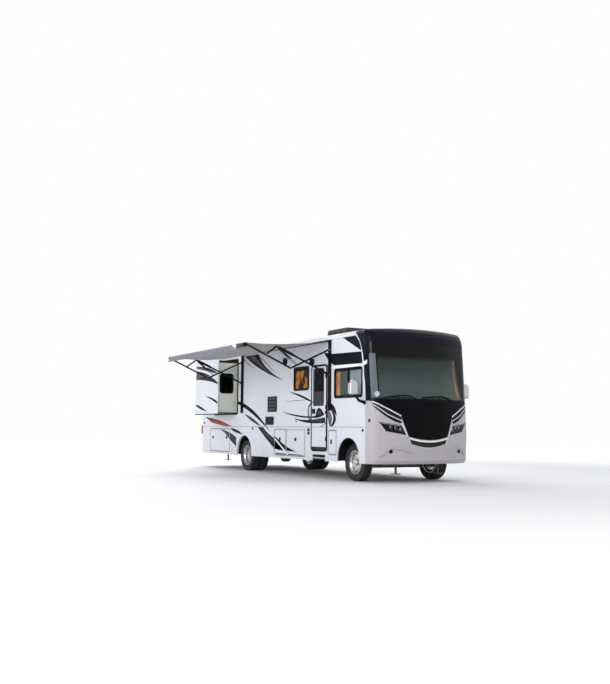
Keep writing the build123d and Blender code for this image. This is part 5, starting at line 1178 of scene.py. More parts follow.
class TrimNose(bpy.types.Operator):
    """Lays slashes, brows, slats, the seam moulding, glass borders (one widened into a band of painted shade),
    wiper arms and mirror faces
    """
    bl_idname = "coach.trim_nose"
    bl_label = "Nose Trim"

    def execute(self, context):
        dark, bright, white, brow, slats = (bmesh.new() for _ in range(5))
        for _, side in BOTH_SIDES:
            nose_sheet(dark, SLASH_TOP, SLASH_LOW, 16, 5, side, -0.002, 0.002)
            shares = ((bright, 0.0, 0.026, 0.008), (white, 0.63, 0.018, 0.007),
                *((slats, share, 0.005, 0.005) for share in (0.18, 0.33, 0.48, 0.82)))
            lines = [(target, [Vector(a).lerp(Vector(b), share) for a, b in zip(SLASH_TOP, SLASH_LOW)],
                width, height) for target, share, width, height in shares]
            lines += [(white, CRESCENT_RIM, 0.015, 0.01), (brow, BROW, 0.042, 0.034),
                (white, HOOD_LINE, 0.022, 0.012)]
            for target, line, width, height in lines:
                for a, b in zip(line, line[1:]):
                    self.strip(target, a, b, width, side, height)
        # Black frit along the pillars, widened on the left into a band of painted shade.
        frit_and_shade, edge = bmesh.new(), bmesh.new()
        for _, side in BOTH_SIDES:
            nose_sheet(frit_and_shade, PILLAR_IN, FRIT_AND_SHADE_IN[side], 20, 8, side, -0.001, 0.001)
            nose_sheet(edge, PILLAR_OUT, PILLAR_IN, 20, 8, side, -0.001, 0.0012)
        piece("windshield_frit", frit_and_shade, "Gloss Black")
        piece("windshield_edge", edge, "Pillar Grey")
        piece("slash_ground", dark, "Gloss Black")
        piece("slash_upper_bright", bright, "White Trim")
        piece("slash_lower_bright", white, "White Trim")
        piece("slash_slats", slats, "Screen Grey")
        piece("fog_brows", brow, "Nose Paint And Painted Shade")
        self.seam()
        self.crescent_mesh()
        arms, disc = bmesh.new(), bmesh.new()
        for line in WIPER_LINES:
            tube(arms, [nose_point(p.x, p.y, 0.016)[0] for p in edge_curve(line, 40)], 0.012, 8, up=AHEAD)
        y, z, r = MARK
        hit, normal = nose_point(y, z, 0.0015)
        lathe(disc, [(0.0, 0.0014), (r - 0.012, 0.0014), (r - 0.01, 0.0008), (r - 0.006, 0.0008),
            (r - 0.005, 0.0014), (r - 0.001, 0.0014), (r, 0.0), (0.0, -0.001)], hit, normal, 40)
        glass, covers = bmesh.new(), bmesh.new()
        for _, side in BOTH_SIDES:
            y, z = side * MIRROR[0], MIRROR[1]
            prism(glass, rounded(y - 0.088, y + 0.088, z - 0.148, z + 0.148, 0.038), rear_place(MIRROR[2]),
                -0.004, 0.0)
            arm = [at(x, side * y, z) for x, y, z in MIRROR_ARM]
            tube(covers, arm[:2], [0.036, 0.026], 14)
            tube(covers, arm[1:], [0.026, 0.022], 14)
            lathe(covers, [(0.0, -0.034), (0.022, -0.026), (0.034, 0.0), (0.022, 0.026), (0.0, 0.034)],
                arm[1], UP, 20)
        piece("mirror_arm_covers", covers, "Rubber Seal")
        piece("mirror_glass", glass, "Mirror Glass")
        piece("wiper_arms", arms, "Rubber Seal")
        piece("blank_disc", disc, "Blank Disc")
        return {"FINISHED"}

    def strip(self, bm, start, end, width, side, height):
        """A ridged bar of one width from start to end on the skin."""
        (ya, za), (yb, zb) = start, end
        across = Vector((zb - za, ya - yb)).normalized() * width / 2
        top = ((ya + across.x, za + across.y), (yb + across.x, zb + across.y))
        low = ((ya - across.x, za - across.y), (yb - across.x, zb - across.y))
        nose_sheet(bm, top, low, 18, 5, side, -0.002, height * 0.45, height * 0.55)

    def seam(self):
        """The raised moulding where the front cap meets the walls."""
        skin = probe("front_cap", "right_wall", "left_wall", "right_skirt", "left_skirt")
        bm = bmesh.new()
        for _, side in BOTH_SIDES:
            points = []
            for spot in edge_curve(SEAM_LINE, 60):
                hit = skin.ray_cast(at(spot.x, side * 3.0, spot.y), Vector((0, -side, 0)))[0]
                out = HALF if hit is None else abs(hit.y - ORIGIN.y)
                points.append(at(spot.x, side * (out + 0.001), spot.y))
            tube(bm, points, 0.008, 8)
        piece("seam_moulding", bm, "White Trim")

    def crescent_mesh(self):
        """Fine upright slats in the dark crescent under the bright bar."""
        bm = bmesh.new()
        for i in range(-30, 31):
            y = i * 0.0145
            top = 0.842 + (0.962 - 0.888) * (y / 0.512) ** 2
            low = 0.756 + (0.822 - 0.748) * (y / 0.45) ** 2
            if top - low < 0.02:
                continue
            hits = [nose_point(y, z)[0] for z in (low, (low + top) / 2, top)]
            tube(bm, [h + Vector((0.001, 0, 0)) for h in hits], 0.0022, 6, up=AHEAD)
        piece("crescent_slats", bm, "Trim Black")


class FitLamps(bpy.types.Operator):
    """Builds the projectors, bezels, turn strips, lamp brows and fog lamp rings"""
    bl_idname = "coach.fit_lamps"
    bl_label = "Lamps"

    def execute(self, context):
        case = probe("lamp_housings")
        bezels, rings, lenses, strips, brows = (bmesh.new() for _ in range(5))
        for _, side in BOTH_SIDES:
            for y, z, r in BOWLS:
                start = from_ahead(case, side * y, z)[0]
                around = [from_ahead(case, side * (y + r * 1.1 * cos(a)), z + r * 1.1 * sin(a))[0]
                    for a in (0.8, 1.6, 2.4, 4.0, 5.5)]
                rim = max(hit.x for hit in around if hit is not None)
                centre = Vector((rim, start.y, start.z))
                deep = max(0.004, rim - start.x)
                lathe(bezels, [(r * 1.02, -0.004), (r * 1.04, 0.003), (r * 0.98, 0.006), (r * 0.9, 0.004),
                    (r * 0.84, -deep * 0.45), (r * 0.7, -deep * 0.9), (r * 0.74, -deep)], centre, AHEAD, 40)
                lathe(lenses, [(0.0, deep * 0.1), (r * 0.22, deep * 0.02), (r * 0.45, -deep * 0.22),
                    (r * 0.62, -deep * 0.55), (r * 0.68, -deep * 0.85), (0.0, -deep * 0.9)], centre, AHEAD,
                    32)
            y, z, r = FOG
            turns = [tau * k / 40 for k in range(41)]
            tube(rings, [nose_point(side * (y + (r + 0.01) * cos(a)), z + (r + 0.01) * sin(a), 0.002)[0]
                for a in turns], 0.0065, 8, up=AHEAD)
            nose_sheet(strips, ((0.674, 1.205), (0.64, 1.12), (0.588, 1.026)),
                ((0.662, 1.203), (0.628, 1.119), (0.576, 1.028)), 12, 3, side, 0.0005, 0.0025)
            nose_sheet(brows, ((1.11, 1.266), (0.705, 1.212)), ((1.1, 1.256), (0.703, 1.2)), 14, 3, side,
                0.0005, 0.0025)
        piece("lamp_bezels", bezels, "Dark Chrome")
        piece("fog_rings", rings, "Grey Trim")
        piece("projector_lenses", lenses, "Clear Lens")
        piece("turn_strips", strips, "Amber Lens")
        piece("lamp_brows", brows, "Grey Trim")
        return {"FINISHED"}


# Windows and cloth inside them

WINDOW_CORNER = 0.06


def cloth_sheet(name, grid, look, body="coach", replaced=()):
    """A sheet of cloth from a grid of points, with a UV map in metres along its threads."""
    bm = bmesh.new()
    layer = bm.loops.layers.uv.new("Cloth")
    rows = [[bm.verts.new(p) for p in row] for row in grid]
    along = [0.0]
    middle = len(grid[0]) // 2
    for a, b in zip(grid, grid[1:]):
        along.append(along[-1] + (b[middle] - a[middle]).length)
    across = [0.0]
    centre = grid[len(grid) // 2]
    for a, b in zip(centre, centre[1:]):
        across.append(across[-1] + (b - a).length)
    for j in range(len(rows) - 1):
        for i in range(len(rows[0]) - 1):
            face = bm.faces.new((rows[j][i], rows[j][i + 1], rows[j + 1][i + 1], rows[j + 1][i]))
            for loop, (row, col) in zip(face.loops, ((j, i), (j, i + 1), (j + 1, i + 1), (j + 1, i))):
                loop[layer].uv = (across[col], along[row])
    area = sum(face.calc_area() for face in bm.faces)
    obj = shown(name, mesh_of(name, bm), look, body, smooth=75.0)
    if replaced:
        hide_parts(*replaced)
    return obj


def curtain_grid(x0, x1, z0, z1, y, side, folds, swing, rng):
    """Cloth that hangs in folds: fuller at its hem than at its track."""
    cols, rows = max(12, folds * 10), 14
    phase = [rng.uniform(-0.5, 0.5) for _ in range(folds + 1)]
    grid = []
    for j in range(rows + 1):
        drop = j / rows
        row = []
        for i in range(cols + 1):
            share = i / cols
            turn = tau * folds * share + phase[min(int(share * folds), folds)] * 0.6
            full, flat = sin(turn) * (0.55 + 0.45 * drop), 0.3 * sin(pi * share)
            wave = swing * (full if folds else flat)
            row.append(at(x0 + (x1 - x0) * share, side * (y + wave), z1 + (z0 - z1) * drop))
        grid.append(row)
    return grid


class DressWindows(bpy.types.Operator):
    """Fits glazing beads, borders and bars, and hangs blinds and curtains behind the glass"""
    bl_idname = "coach.dress_windows"
    bl_label = "Windows"

    def execute(self, context):
        rng = random.Random(11)
        beads, bars, borders = bmesh.new(), bmesh.new(), bmesh.new()
        # Side, window, width of the black border, width of the middle bar
        windows = ((-1, CAB_WINDOW, 0.052, 0.034), (-1, HOUSE_WINDOW, 0.085, 0.0)) + tuple((1, window, 0.045,
            0.022) for window in LEFT_WINDOWS)
        for side, window, border, bar in windows:
            place = side_place(side)
            frame_ring(beads, window, 0.001, 0.01, WINDOW_CORNER, place, -0.0065, -0.001, 0.001)
            low = window[2] - (0.0 if bar else 0.05)
            frame_ring(borders, (window[0], window[1], low, window[3]), -0.002, border, WINDOW_CORNER, place,
                -0.0059, -0.0054)
            if bar:
                middle = (window[0] + window[1]) / 2
                box(bars, middle - bar / 2, middle + bar / 2, side * (HALF - 0.0058), side * (HALF + 0.002),
                    window[2] + 0.004, window[3] - 0.004, 0.002)
        piece("window_borders", borders, "Window Black")
        piece("window_beads", beads, "Rubber Seal")
        piece("window_bars", bars, "Window Black")
        # The house curtain and the cab's side curtain glow: painted light of lamps inside the coach.
        # Name, finish, side, rear x, front x, low z, high z, folds, swing
        rows = (
            ("cab_rear_blind", "Teal Blind", -1, -0.4, 0.02, 1.83, 2.45, 0, 0.004),
            ("cab_side_blind", "Grey Blind", -1, 0.03, 0.55, 1.83, 2.45, 0, 0.004),
            ("cab_side_curtain", "Curtain With Painted Lamplight", -1, -0.57, -0.36, 1.83, 2.45, 4, 0.008),
            ("house_curtain", "Dark Curtain With Painted Lamplight", -1, -2.48, -1.76, 2.06, 2.59, 9, 0.007),
            ("left_blind_a", "Grey Blind", 1, -2.69, -1.51, 1.91, 2.59, 0, 0.004),
            ("left_blind_b", "Grey Blind", 1, -7.09, -6.31, 2.06, 2.59, 0, 0.004),
        )
        for name, look, side, x0, x1, z0, z1, folds, swing in rows:
            grid = curtain_grid(x0, x1, z0, z1, HALF - 0.03, side, folds, swing, rng)
            cloth_sheet(name, grid, look)
        return {"FINISHED"}


CURTAIN_EDGE = ((0.836, 2.671), (0.829, 2.462), (0.845, 2.267), (0.882, 2.074), (0.943, 1.894),
    (0.985, 1.815))


class HangCabBlind(bpy.types.Operator):
    """Pleats the blind drawn behind the windshield, with a curtain's edge at one side"""
    bl_idname = "coach.hang_cab_blind"
    bl_label = "Cab Blind"

    def execute(self, context):
        skin = probe("shades")
        low, high = (c.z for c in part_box("shades"))
        pleat = sizes().pleat
        count = max(8, int((high - low) / pleat))
        cols = 56
        grid = []
        for j in range(2 * count + 1):
            z = low + 0.004 + (high - low - 0.008) * j / (2 * count)
            reach = self.reach(skin, z)
            if reach < 0.3:
                continue
            fold = -0.0005 if j % 2 else -0.0115
            row = []
            for i in range(cols + 1):
                y = reach * (2 * i / cols - 1)
                hit = from_ahead(skin, y, z)[0]
                row.append(hit + Vector((fold, 0, 0)))
            grid.append(row)
        cloth_sheet("cab_blind", grid[::-1], "Cab Blind", replaced=["shades"])
        # The curtain's edge glows: painted light of a lamp inside the cab.
        edge = []
        for spot in edge_curve(CURTAIN_EDGE, 25):
            row = []
            for i in range(9):
                y = spot.x + (i / 8 - 0.5) * 0.062
                hit = from_ahead(skin, y, spot.y)[0]
                row.append(hit + Vector((0.0016 + 0.001 * sin(i * pi / 2), 0, 0)))
            edge.append(row)
        cloth_sheet("cab_curtain_edge", edge, "Curtain With Painted Lamplight")
        return {"FINISHED"}

    def reach(self, skin, z):
        """How far the blind runs to each side at this height."""
        low, high = 0.0, HALF
        for _ in range(24):
            middle = (low + high) / 2
            if from_ahead(skin, middle, z)[0] is None:
                high = middle
            else:
                low = middle
        return low - 0.002


# Awning: the cloth's ends in x, its rail as (y, z) and its roller tube as (y, z, radius)

AWNING = (-5.35, -0.8)
RAIL = (-1.311, 3.128)
TUBE = (-3.4125, 2.93, 0.0455)
VALANCE = 0.1
VALANCE_END = -1.2


class HangAwning(bpy.types.Operator):
    """Stretches the awning cloth from its rail to the roller, with a hanging valance"""
    bl_idname = "coach.hang_awning"
    bl_label = "Awning"

    def execute(self, context):
        rng = random.Random(23)
        sag = sizes().awning_sag
        x0, x1 = AWNING
        cols, rows = 110, 34
        tube_y, tube_z, radius = TUBE
        lean = radians(78)
        land = (tube_y + radius * cos(lean), tube_z + radius * sin(lean))
        waves = [(rng.uniform(5, 16), rng.uniform(0, 6.28), rng.uniform(0.0004, 0.0016)) for _ in range(7)]
        grid = []
        for j in range(rows + 1):
            t = j / rows
            row = []
            for i in range(cols + 1):
                s = i / cols
                droop = sag * 4 * t * (1 - t) * (1.55 - 0.75 * s)
                ripple = sum(a * sin(f * s * 6.28 + p) for f, p, a in waves) * sin(pi * t)
                edge = 0.006 * exp(-min(s, 1 - s) * 60) * sin(pi * t)
                row.append(at(x0 + (x1 - x0) * s, RAIL[0] + (land[0] - RAIL[0]) * t,
                    RAIL[1] + (land[1] - RAIL[1]) * t - droop + ripple + edge))
            grid.append(row)
        for k in range(1, 9):
            angle = lean + (pi - lean) * k / 8
            grid.append([at(x0 + (x1 - x0) * i / cols, tube_y + radius * cos(angle),
                tube_z + radius * sin(angle)) for i in range(cols + 1)])
        cloth_sheet("awning_cloth", grid, "Awning Cloth",
            replaced=["awning_fabric"])
        hang = []
        for k in range(11):
            fall = k / 10
            row = []
            for i in range(cols + 1):
                s = i / cols
                flutter = 0.006 * fall * sin(s * 6.28 * 13 + 1.3 * sin(s * 9))
                row.append(at(x0 + (VALANCE_END - x0) * s, tube_y - radius - 0.0015 + flutter,
                    tube_z + 0.012 - (VALANCE + 0.012) * fall))
            hang.append(row)
        cloth_sheet("awning_valance", hang, "Valance Cloth")
        self.hardware()
        return {"FINISHED"}

    def hardware(self):
        """The tube's end caps and front sleeve, the lamp at its end and the arms' pins."""
        cap, lamp, pins = (bmesh.new() for _ in range(3))
        tube_y, tube_z, _ = TUBE
        for x, way in ((AWNING[1] + 0.018, 1), (AWNING[0] - 0.018, -1)):
            centre = at(x, tube_y, tube_z)
            lathe(cap, [(0.0, 0.01), (0.02, 0.01), (0.026, 0.006), (0.044, 0.005), (0.0485, 0.001),
                (0.0485, -0.012), (0.04, -0.013), (0.0, -0.013)], centre, Vector((way, 0, 0)), 36)
        lathe(lamp, [(0.0, 0.012), (0.022, 0.011), (0.033, 0.006), (0.036, 0.0), (0.034, -0.006),
            (0.0, -0.008)], at(VALANCE_END - 0.01, -3.475, 2.925), Vector((0.35, -0.25, -1)), 32)
        lathe(cap, [(0.0, 0.0), (0.044, 0.0), (0.0505, 0.006), (0.0505, 0.404), (0.046, 0.412),
            (0.0, 0.412)], at(AWNING[1] + 0.006, tube_y, tube_z), -AHEAD, 40)
        for x, way in ((-0.75, 1), (-5.4, -1)):
            for out, z in ((0.058, 2.915), (0.058, 2.35), (1.035, 2.455), (1.385, 2.925), (1.642, 2.735)):
                lathe(pins, [(0.0, 0.0), (0.011, 0.0), (0.013, 0.003), (0.013, 0.006), (0.009, 0.009),
                    (0.0, 0.0095)], at(x + way * 0.026, -HALF - out, z), Vector((way, 0, 0)), 16)
        piece("awning_tube_caps", cap, "Powder Black")
        piece("awning_lamp", lamp, "Lamp White")
        piece("awning_pins", pins, "Bare Steel")


# Wheels

def tyre_profile():
    """The tyre's section as a closed loop: half of it, as (radius, half width), mirrored."""
    half = [(0.248, 0.085), (0.255, 0.095), (0.27, 0.102), (0.276, 0.106), (0.283, 0.1065), (0.285, 0.105),
        (0.3, 0.1095), (0.318, 0.112), (0.32, 0.111), (0.323, 0.112), (0.342, 0.1115), (0.36, 0.1085),
        (0.374, 0.1045), (0.385, 0.0985), (0.392, 0.09), (0.3945, 0.07), (0.3955, 0.04)]
    inner = [(0.382, 0.05), (0.37, 0.09), (0.33, 0.103), (0.29, 0.098), (0.262, 0.084)]
    outside = [(r, -w) for r, w in half] + [(r, w) for r, w in reversed(half)]
    return outside + [(r, w) for r, w in reversed(inner)] + [(r, -w) for r, w in inner]


NUT_CIRCLE, VALVE_CIRCLE = 0.112, 0.205
# Tread: place across the tyre, width, blocks, phase
TREAD_ROWS = ((-0.086, 0.03, 54, 0.0), (-0.044, 0.026, 72, 0.3), (0.0, 0.026, 72, 0.0),
    (0.044, 0.026, 72, 0.6), (0.086, 0.03, 54, 0.5))
# CAD node, body, places across the coach
TYRES = (
    ("front_tyre_right", "front_wheel_right", (-1.008,)), ("front_tyre_left", "front_wheel_left", (1.008,)),
    ("rear_tyres_right", "rear_wheels_right", (-1.0875, -0.8275)),
    ("rear_tyres_left", "rear_wheels_left", (1.0875, 0.8275)),
)


class FitTyres(bpy.types.Operator):
    """Turns the tyres and grows their tread blocks"""
    bl_idname = "coach.fit_tyres"
    bl_label = "Tyres"

    def execute(self, context):
        depth = sizes().tread_depth
        for node, body, places in TYRES:
            low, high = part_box(node)
            x, z = (low[0] + high[0]) / 2 - ORIGIN.x, (low[2] + high[2]) / 2
            bm = bmesh.new()
            for y in places:
                lathe(bm, tyre_profile(), at(x, y, z), LEFT, 96)
            tyre = piece(node.replace("tyre", "road_tyre"), bm, "Tyre Rubber", body, 40)
            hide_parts(node)
            rows = []
            for y in places:
                for off, width, count, phase in TREAD_ROWS:
                    length = tau * TYRE_R / count * 0.8
                    block = local_block(depth + 0.004, length, width, 0.0016)
                    item = item_object("Tread Block", block)
                    shoulder = 0.0018 if abs(off) > 0.08 else 0.0
                    rows.append((item, wheel_tree, {"Count": count,
                        "Radius": TYRE_R - (depth + 0.004) / 2 - 0.0004 - shoulder,
                        "Phase": phase * tau / count, "Centre": at(x, y + off, z)}))
            rows_piece(node.replace("tyre", "tread"), "Tyre Rubber", rows, body, 25)
        return {"FINISHED"}


class DressWheels(bpy.types.Operator):
    """Bolts on the wheel nuts with their washers, hub caps and valve stems"""
    bl_idname = "coach.dress_wheels"
    bl_label = "Wheel Hardware"

    def execute(self, context):
        nut = [(0.0, 0.02), (0.01, 0.0195), (0.0145, 0.016), (0.0165, 0.01), (0.0165, -0.004), (0.0, -0.004)]
        for tyre, body, places in TYRES:
            node = tyre.replace("tyre", "rim")
            side = copysign(1, places[0])
            skin = probe(node)
            low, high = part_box(node)
            x, z = (low[0] + high[0]) / 2 - ORIGIN.x, (low[2] + high[2]) / 2
            bm = bmesh.new()
            out = Vector((0, side, 0))
            for k in range(8):
                a = tau * (k + 0.5) / 8
                spot = at(x + NUT_CIRCLE * cos(a), side * 2.0, z + NUT_CIRCLE * sin(a))
                hit = skin.ray_cast(spot, -out)[0]
                lathe(bm, nut, hit, out, 6)
                lathe(bm, [(0.021, 0.0), (0.021, 0.003), (0.016, 0.0035), (0.016, 0.0)], hit, out, 20)
            hub = skin.ray_cast(at(x, side * 2.0, z), -out)[0]
            lathe(bm, [(0.0, 0.004), (0.02, 0.0035), (0.045, 0.001), (0.06, -0.005), (0.068, -0.012),
                (0.068, -0.02), (0.0, -0.02)], hub, out, 48)
            a = 0.9
            spot = at(x + VALVE_CIRCLE * cos(a), side * 2.0, z + VALVE_CIRCLE * sin(a))
            foot = skin.ray_cast(spot, -out)[0]
            tube(bm, [foot - out * 0.004, foot + out * 0.012, foot + out * 0.03 + Vector((0.004, 0, 0.004))],
                [0.0042, 0.004, 0.0036], 10)
            piece(node.replace("rim", "hub"), bm, "Wheel Chrome", body)
        return {"FINISHED"}


# Doors and the slide-out

GRAB_X, GRAB_LOW, GRAB_RUN = -1.665, 1.33, 0.38


class DressEntry(bpy.types.Operator):
    """Fits the entry door's seals, latch, hinges, screen panel, grab rail and sills"""
    bl_idname = "coach.dress_entry"
    bl_label = "Entry"

    def execute(self, context):
        place = side_place(-1)
        seal, jamb, metal, dark, panel, white, latch, tread = (bmesh.new() for _ in range(8))
        frame_ring(seal, ENTRY_GLASS, 0.02, 0.022, 0.03, place, -0.004, 0.004, 0.002)
        frame_ring(jamb, ENTRY, 0.04, 0.039, 0.05, place, -0.002, 0.004, 0.001)
        points = [at(GRAB_X, -HALF - 0.062 * sin(pi * t) ** 0.5, GRAB_LOW + GRAB_RUN * t)
            for t in (i / 20 for i in range(21))]
        tube(metal, points, 0.012, 14, up=AHEAD)
        for t in (0, 1):
            lathe(metal, [(0.0, 0.006), (0.018, 0.005), (0.024, 0.0), (0.0, -0.002)],
                at(GRAB_X, -HALF, GRAB_LOW + GRAB_RUN * t), -LEFT, 24)
        prism(dark, rounded(-1.59, -1.44, 1.475, 1.592, 0.012), place, -0.001, 0.0022)
        prism(panel, rounded(-1.525, -1.055, 1.655, 1.99, 0.025), place, -0.004, 0.0068)
        frame_ring(white, ENTRY_GLASS, 0.04, 0.02, 0.03, place, -0.002, 0.003, 0.001)
        prism(dark, rounded(-1.588, -0.962, 0.659, 0.716, 0.006), place, -0.002, 0.004)
        box(tread, -1.56, -0.99, -HALF - 0.004, -HALF + 0.016, 0.45, 0.48, 0.002)
        box(jamb, -1.56, -0.99, -HALF - 0.004, -HALF + 0.016, 0.625, 0.655, 0.002)
        box(jamb, -0.912, -0.884, -HALF - 0.006, -HALF + 0.002, 0.62, 2.59, 0.002)
        prism(latch, rounded(-1.56, -1.47, 1.502, 1.566, 0.01), place, 0.0022, 0.012)
        box(latch, -1.556, -1.5, -HALF - 0.012, -HALF - 0.026, 1.522, 1.546, 0.004)
        for z in (0.9, 1.62, 2.34):
            lathe(latch, [(0.0, -0.05), (0.009, -0.05), (0.01, -0.047), (0.01, 0.047), (0.009, 0.05),
                (0.0, 0.05)], at(-0.962, -HALF - 0.006, z), UP, 16)
        piece("entry_glass_seal", seal, "Rubber Seal", "entry_door")
        piece("entry_jamb_seal", jamb, "Rubber Seal")
        piece("entry_grab_rail", metal, "Trim Black")
        piece("entry_latch_plate", dark, "Gloss Black", "entry_door")
        piece("entry_screen_panel", panel, "Screen Grey", "entry_door")
        piece("entry_glass_ring", white, "White Trim", "entry_door")
        piece("entry_latch", latch, "Trim Black", "entry_door")
        piece("entry_sills", tread, "Grey Trim")
        blind = curtain_grid(-1.505, -1.075, 1.725, 2.495, HALF - 0.022, -1, 0, 0.002, random.Random(3))
        cloth_sheet("entry_blind", blind, "Night Blind", "entry_door")
        return {"FINISHED"}


class DressDoors(bpy.types.Operator):
    """Fits the edges and seals of the baggage and service doors"""
    bl_idname = "coach.dress_doors"
    bl_label = "Baggage Doors"

    def execute(self, context):
        for name, (side, x0, x1, z0, z1) in list(LOCKERS.items()) + [("service_door", (-1,) + SERVICE)]:
            place = side_place(side)
            trim = bmesh.new()
            rect = (x0 - DOOR_GAP, x1 + DOOR_GAP, z0 + DOOR_GAP, z1 - DOOR_GAP)
            frame_ring(trim, rect, -0.002, 0.012, 0.012, place, -0.001, 0.0012, 0.0004)
            piece(name + "_edge", trim, "Grey Trim", name)
            seal = bmesh.new()
            frame_ring(seal, (x0, x1, z0, z1), 0.008, 0.007, 0.01, place, -0.002, 0.0012, 0.0005)
            piece(name + "_seal", seal, "Rubber Seal")
        panel = bmesh.new()
        x0, x1, z0, z1 = SERVICE
        frame_ring(panel, (x0 - 0.045, x1 + 0.045, z0 + 0.045, z1 - 0.045), 0.0, 0.016, 0.045,
            side_place(-1), -0.001, 0.001, 0.0018)
        piece("service_door_panel", panel, "White Trim", "service_door")
        return {"FINISHED"}


class DressSlide(bpy.types.Operator):
    """Fits the slide-out's face trim, window trim, end rails and seals"""
    bl_idname = "coach.dress_slide"
    bl_label = "Slide-out"

    def execute(self, context):
        seal, trim, low = bmesh.new(), bmesh.new(), bmesh.new()
        opening = (SLIDE[0], SLIDE[1], SLIDE[2] + 0.03, SLIDE[3])
        frame_ring(seal, opening, 0.07, 0.066, 0.02, side_place(-1), -0.002, 0.002, 0.001)
        end = lambda u, v, h: at(SLIDE_END_X + h, u, v)
        glass_low, glass_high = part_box("slide_pane")
        pane = (glass_high[1] - ORIGIN.y, glass_low[1] - ORIGIN.y, glass_low[2], glass_high[2])
        frame_ring(low, pane, 0.018, 0.045, 0.07, end, -0.002, 0.01, 0.003)
        frame_ring(trim, pane, 0.048, 0.034, 0.07, end, -0.002, 0.004, 0.002)
        rect = (-5.735, -7.355, 1.505, 3.015)
        frame_ring(trim, rect, 0.0, 0.022, 0.012, slide_place, -0.002, 0.004, 0.002)
        box(low, -7.357, -5.733, SLIDE_FACE_Y + 0.02, SLIDE_FACE_Y - 0.01, 1.497, 1.522, 0.003)
        for z in (1.636, 2.85):
            box(trim, SLIDE_END_X - 0.002, SLIDE_END_X + 0.008, SLIDE_FACE_Y + 0.03, -HALF - 0.03, z - 0.01,
                z + 0.01, 0.002)
        piece("slide_wall_seal", seal, "Rubber Seal")
        piece("slide_face_trim", trim, "White Trim", "slide_room")
        piece("slide_low_seal", low, "Rubber Seal", "slide_room")
        return {"FINISHED"}


# Sides, roof and rear

class TrimSides(bpy.types.Operator):
    """Runs the belt mouldings and fits vents, grilles, outlets and markers"""
    bl_idname = "coach.trim_sides"
    bl_label = "Side Trim"

    def execute(self, context):
        coach, door = bmesh.new(), bmesh.new()
        for side, spans in ((-1, ((SIDE_FRONT, -0.942), (-1.608, SIDE_REAR))),
                (1, ((SIDE_FRONT, SIDE_REAR),))):
            for x0, x1 in spans:
                self.belt(coach, x0, x1, side)
        self.belt(door, -0.962, -1.588, -1)
        piece("belt_moulding", coach, "Grey Trim")
        piece("entry_belt_moulding", door, "Grey Trim", "entry_door")
        rail = bmesh.new()
        for _, side in BOTH_SIDES:
            box(rail, -8.23, 0.31, side * (HALF - 0.002), side * (HALF + 0.012), 3.15, 3.192, 0.004)
            box(rail, -8.23, 0.31, side * (HALF + 0.004), side * (HALF + 0.02), 3.152, 3.16, 0.002)
        piece("roof_rails", rail, "White Trim")
        self.vents()
        self.markers()
        return {"FINISHED"}

    def belt(self, bm, x0, x1, side):
        box(bm, x1, x0, side * (HALF - 0.001), side * (HALF + 0.0045), BELT_Z - 0.01, BELT_Z + 0.01, 0.0018)

    def vents(self):
        slats = item_object("Vent Slat", local_block(0.4, 0.012, 0.006, 0.001))
        fine = item_object("Lower Slat", local_block(0.36, 0.01, 0.005, 0.001))
        rows = [(slats, row_tree, {"Count": 4, "Centre": at(-3.63, -HALF - 0.008, 1.6 + k * 0.088),
            "Step": Vector((0, 0, 0.011))}) for k in range(4)]
        rows_piece("vent_slats", "Vent Grey", rows)
        rows_piece("lower_vent_slats", "Trim Black",
            [(fine, row_tree, {"Count": 11, "Centre": at(-3.77, -HALF - 0.018, 1.25),
            "Step": Vector((0, 0, 0.015))})])
        screw = [(0.0, 0.0022), (0.003, 0.002), (0.0042, 0.0006), (0.0042, -0.001), (0.0, -0.001)]
        screws = bmesh.new()
        for x0, x1, z0, z1, proud in ((-3.88, -3.38, 1.55, 1.94, 0.016), (-3.99, -3.55, 1.22, 1.43, 0.016)):
            for x in (x0 + 0.015, (x0 + x1) / 2, x1 - 0.015):
                for z in (z0 + 0.012, z1 - 0.012):
                    lathe(screws, screw, at(x, -HALF - proud, z), -LEFT, 12)
        piece("vent_screws", screws, "Bare Steel")
        grilles = bmesh.new()
        for x, z in ((-2.93, 2.79), (-1.58, 2.685)):
            for r in (0.02, 0.035, 0.05, 0.065, 0.079):
                lathe(grilles, [(r - 0.002, 0.0), (r - 0.002, 0.004), (r + 0.002, 0.004), (r + 0.002, 0.0)],
                    at(x, -HALF - 0.043, z), -LEFT, 40)
        piece("speaker_grilles", grilles, "Trim Black")
        outlets = bmesh.new()
        for z in (1.105, 1.025):
            prism(outlets, rounded(-1.795, -1.7, z - 0.034, z + 0.034, 0.01), side_place(-1), -0.001, 0.012)
            prism(outlets, rounded(-1.783, -1.712, z - 0.024, z + 0.024, 0.006), side_place(-1), 0.012,
                0.018)
        prism(outlets, rounded(-2.374, -2.35, 1.275, 1.345, 0.006), side_place(-1), -0.001, 0.01)
        piece("side_outlets", outlets, "Screen Grey")

    def markers(self):
        base, red, dark = bmesh.new(), bmesh.new(), bmesh.new()
        for _, side in BOTH_SIDES:
            for x, z, bm in ((-8.06, 1.28, dark), (-4.77, 1.12, dark), (0.585, 1.1, dark),
                    (0.83, 1.31, red)):
                prism(base, rounded(x - 0.034, x + 0.034, z - 0.034, z + 0.034, 0.033), side_place(side),
                    -0.001, 0.004)
                prism(bm, rounded(x - 0.027, x + 0.027, z - 0.027, z + 0.027, 0.026), side_place(side),
                    0.002, 0.012)
        piece("marker_bases", base, "Trim Black")
        piece("red_markers", red, "Red Lens")
        piece("dark_markers", dark, "Screen Grey")


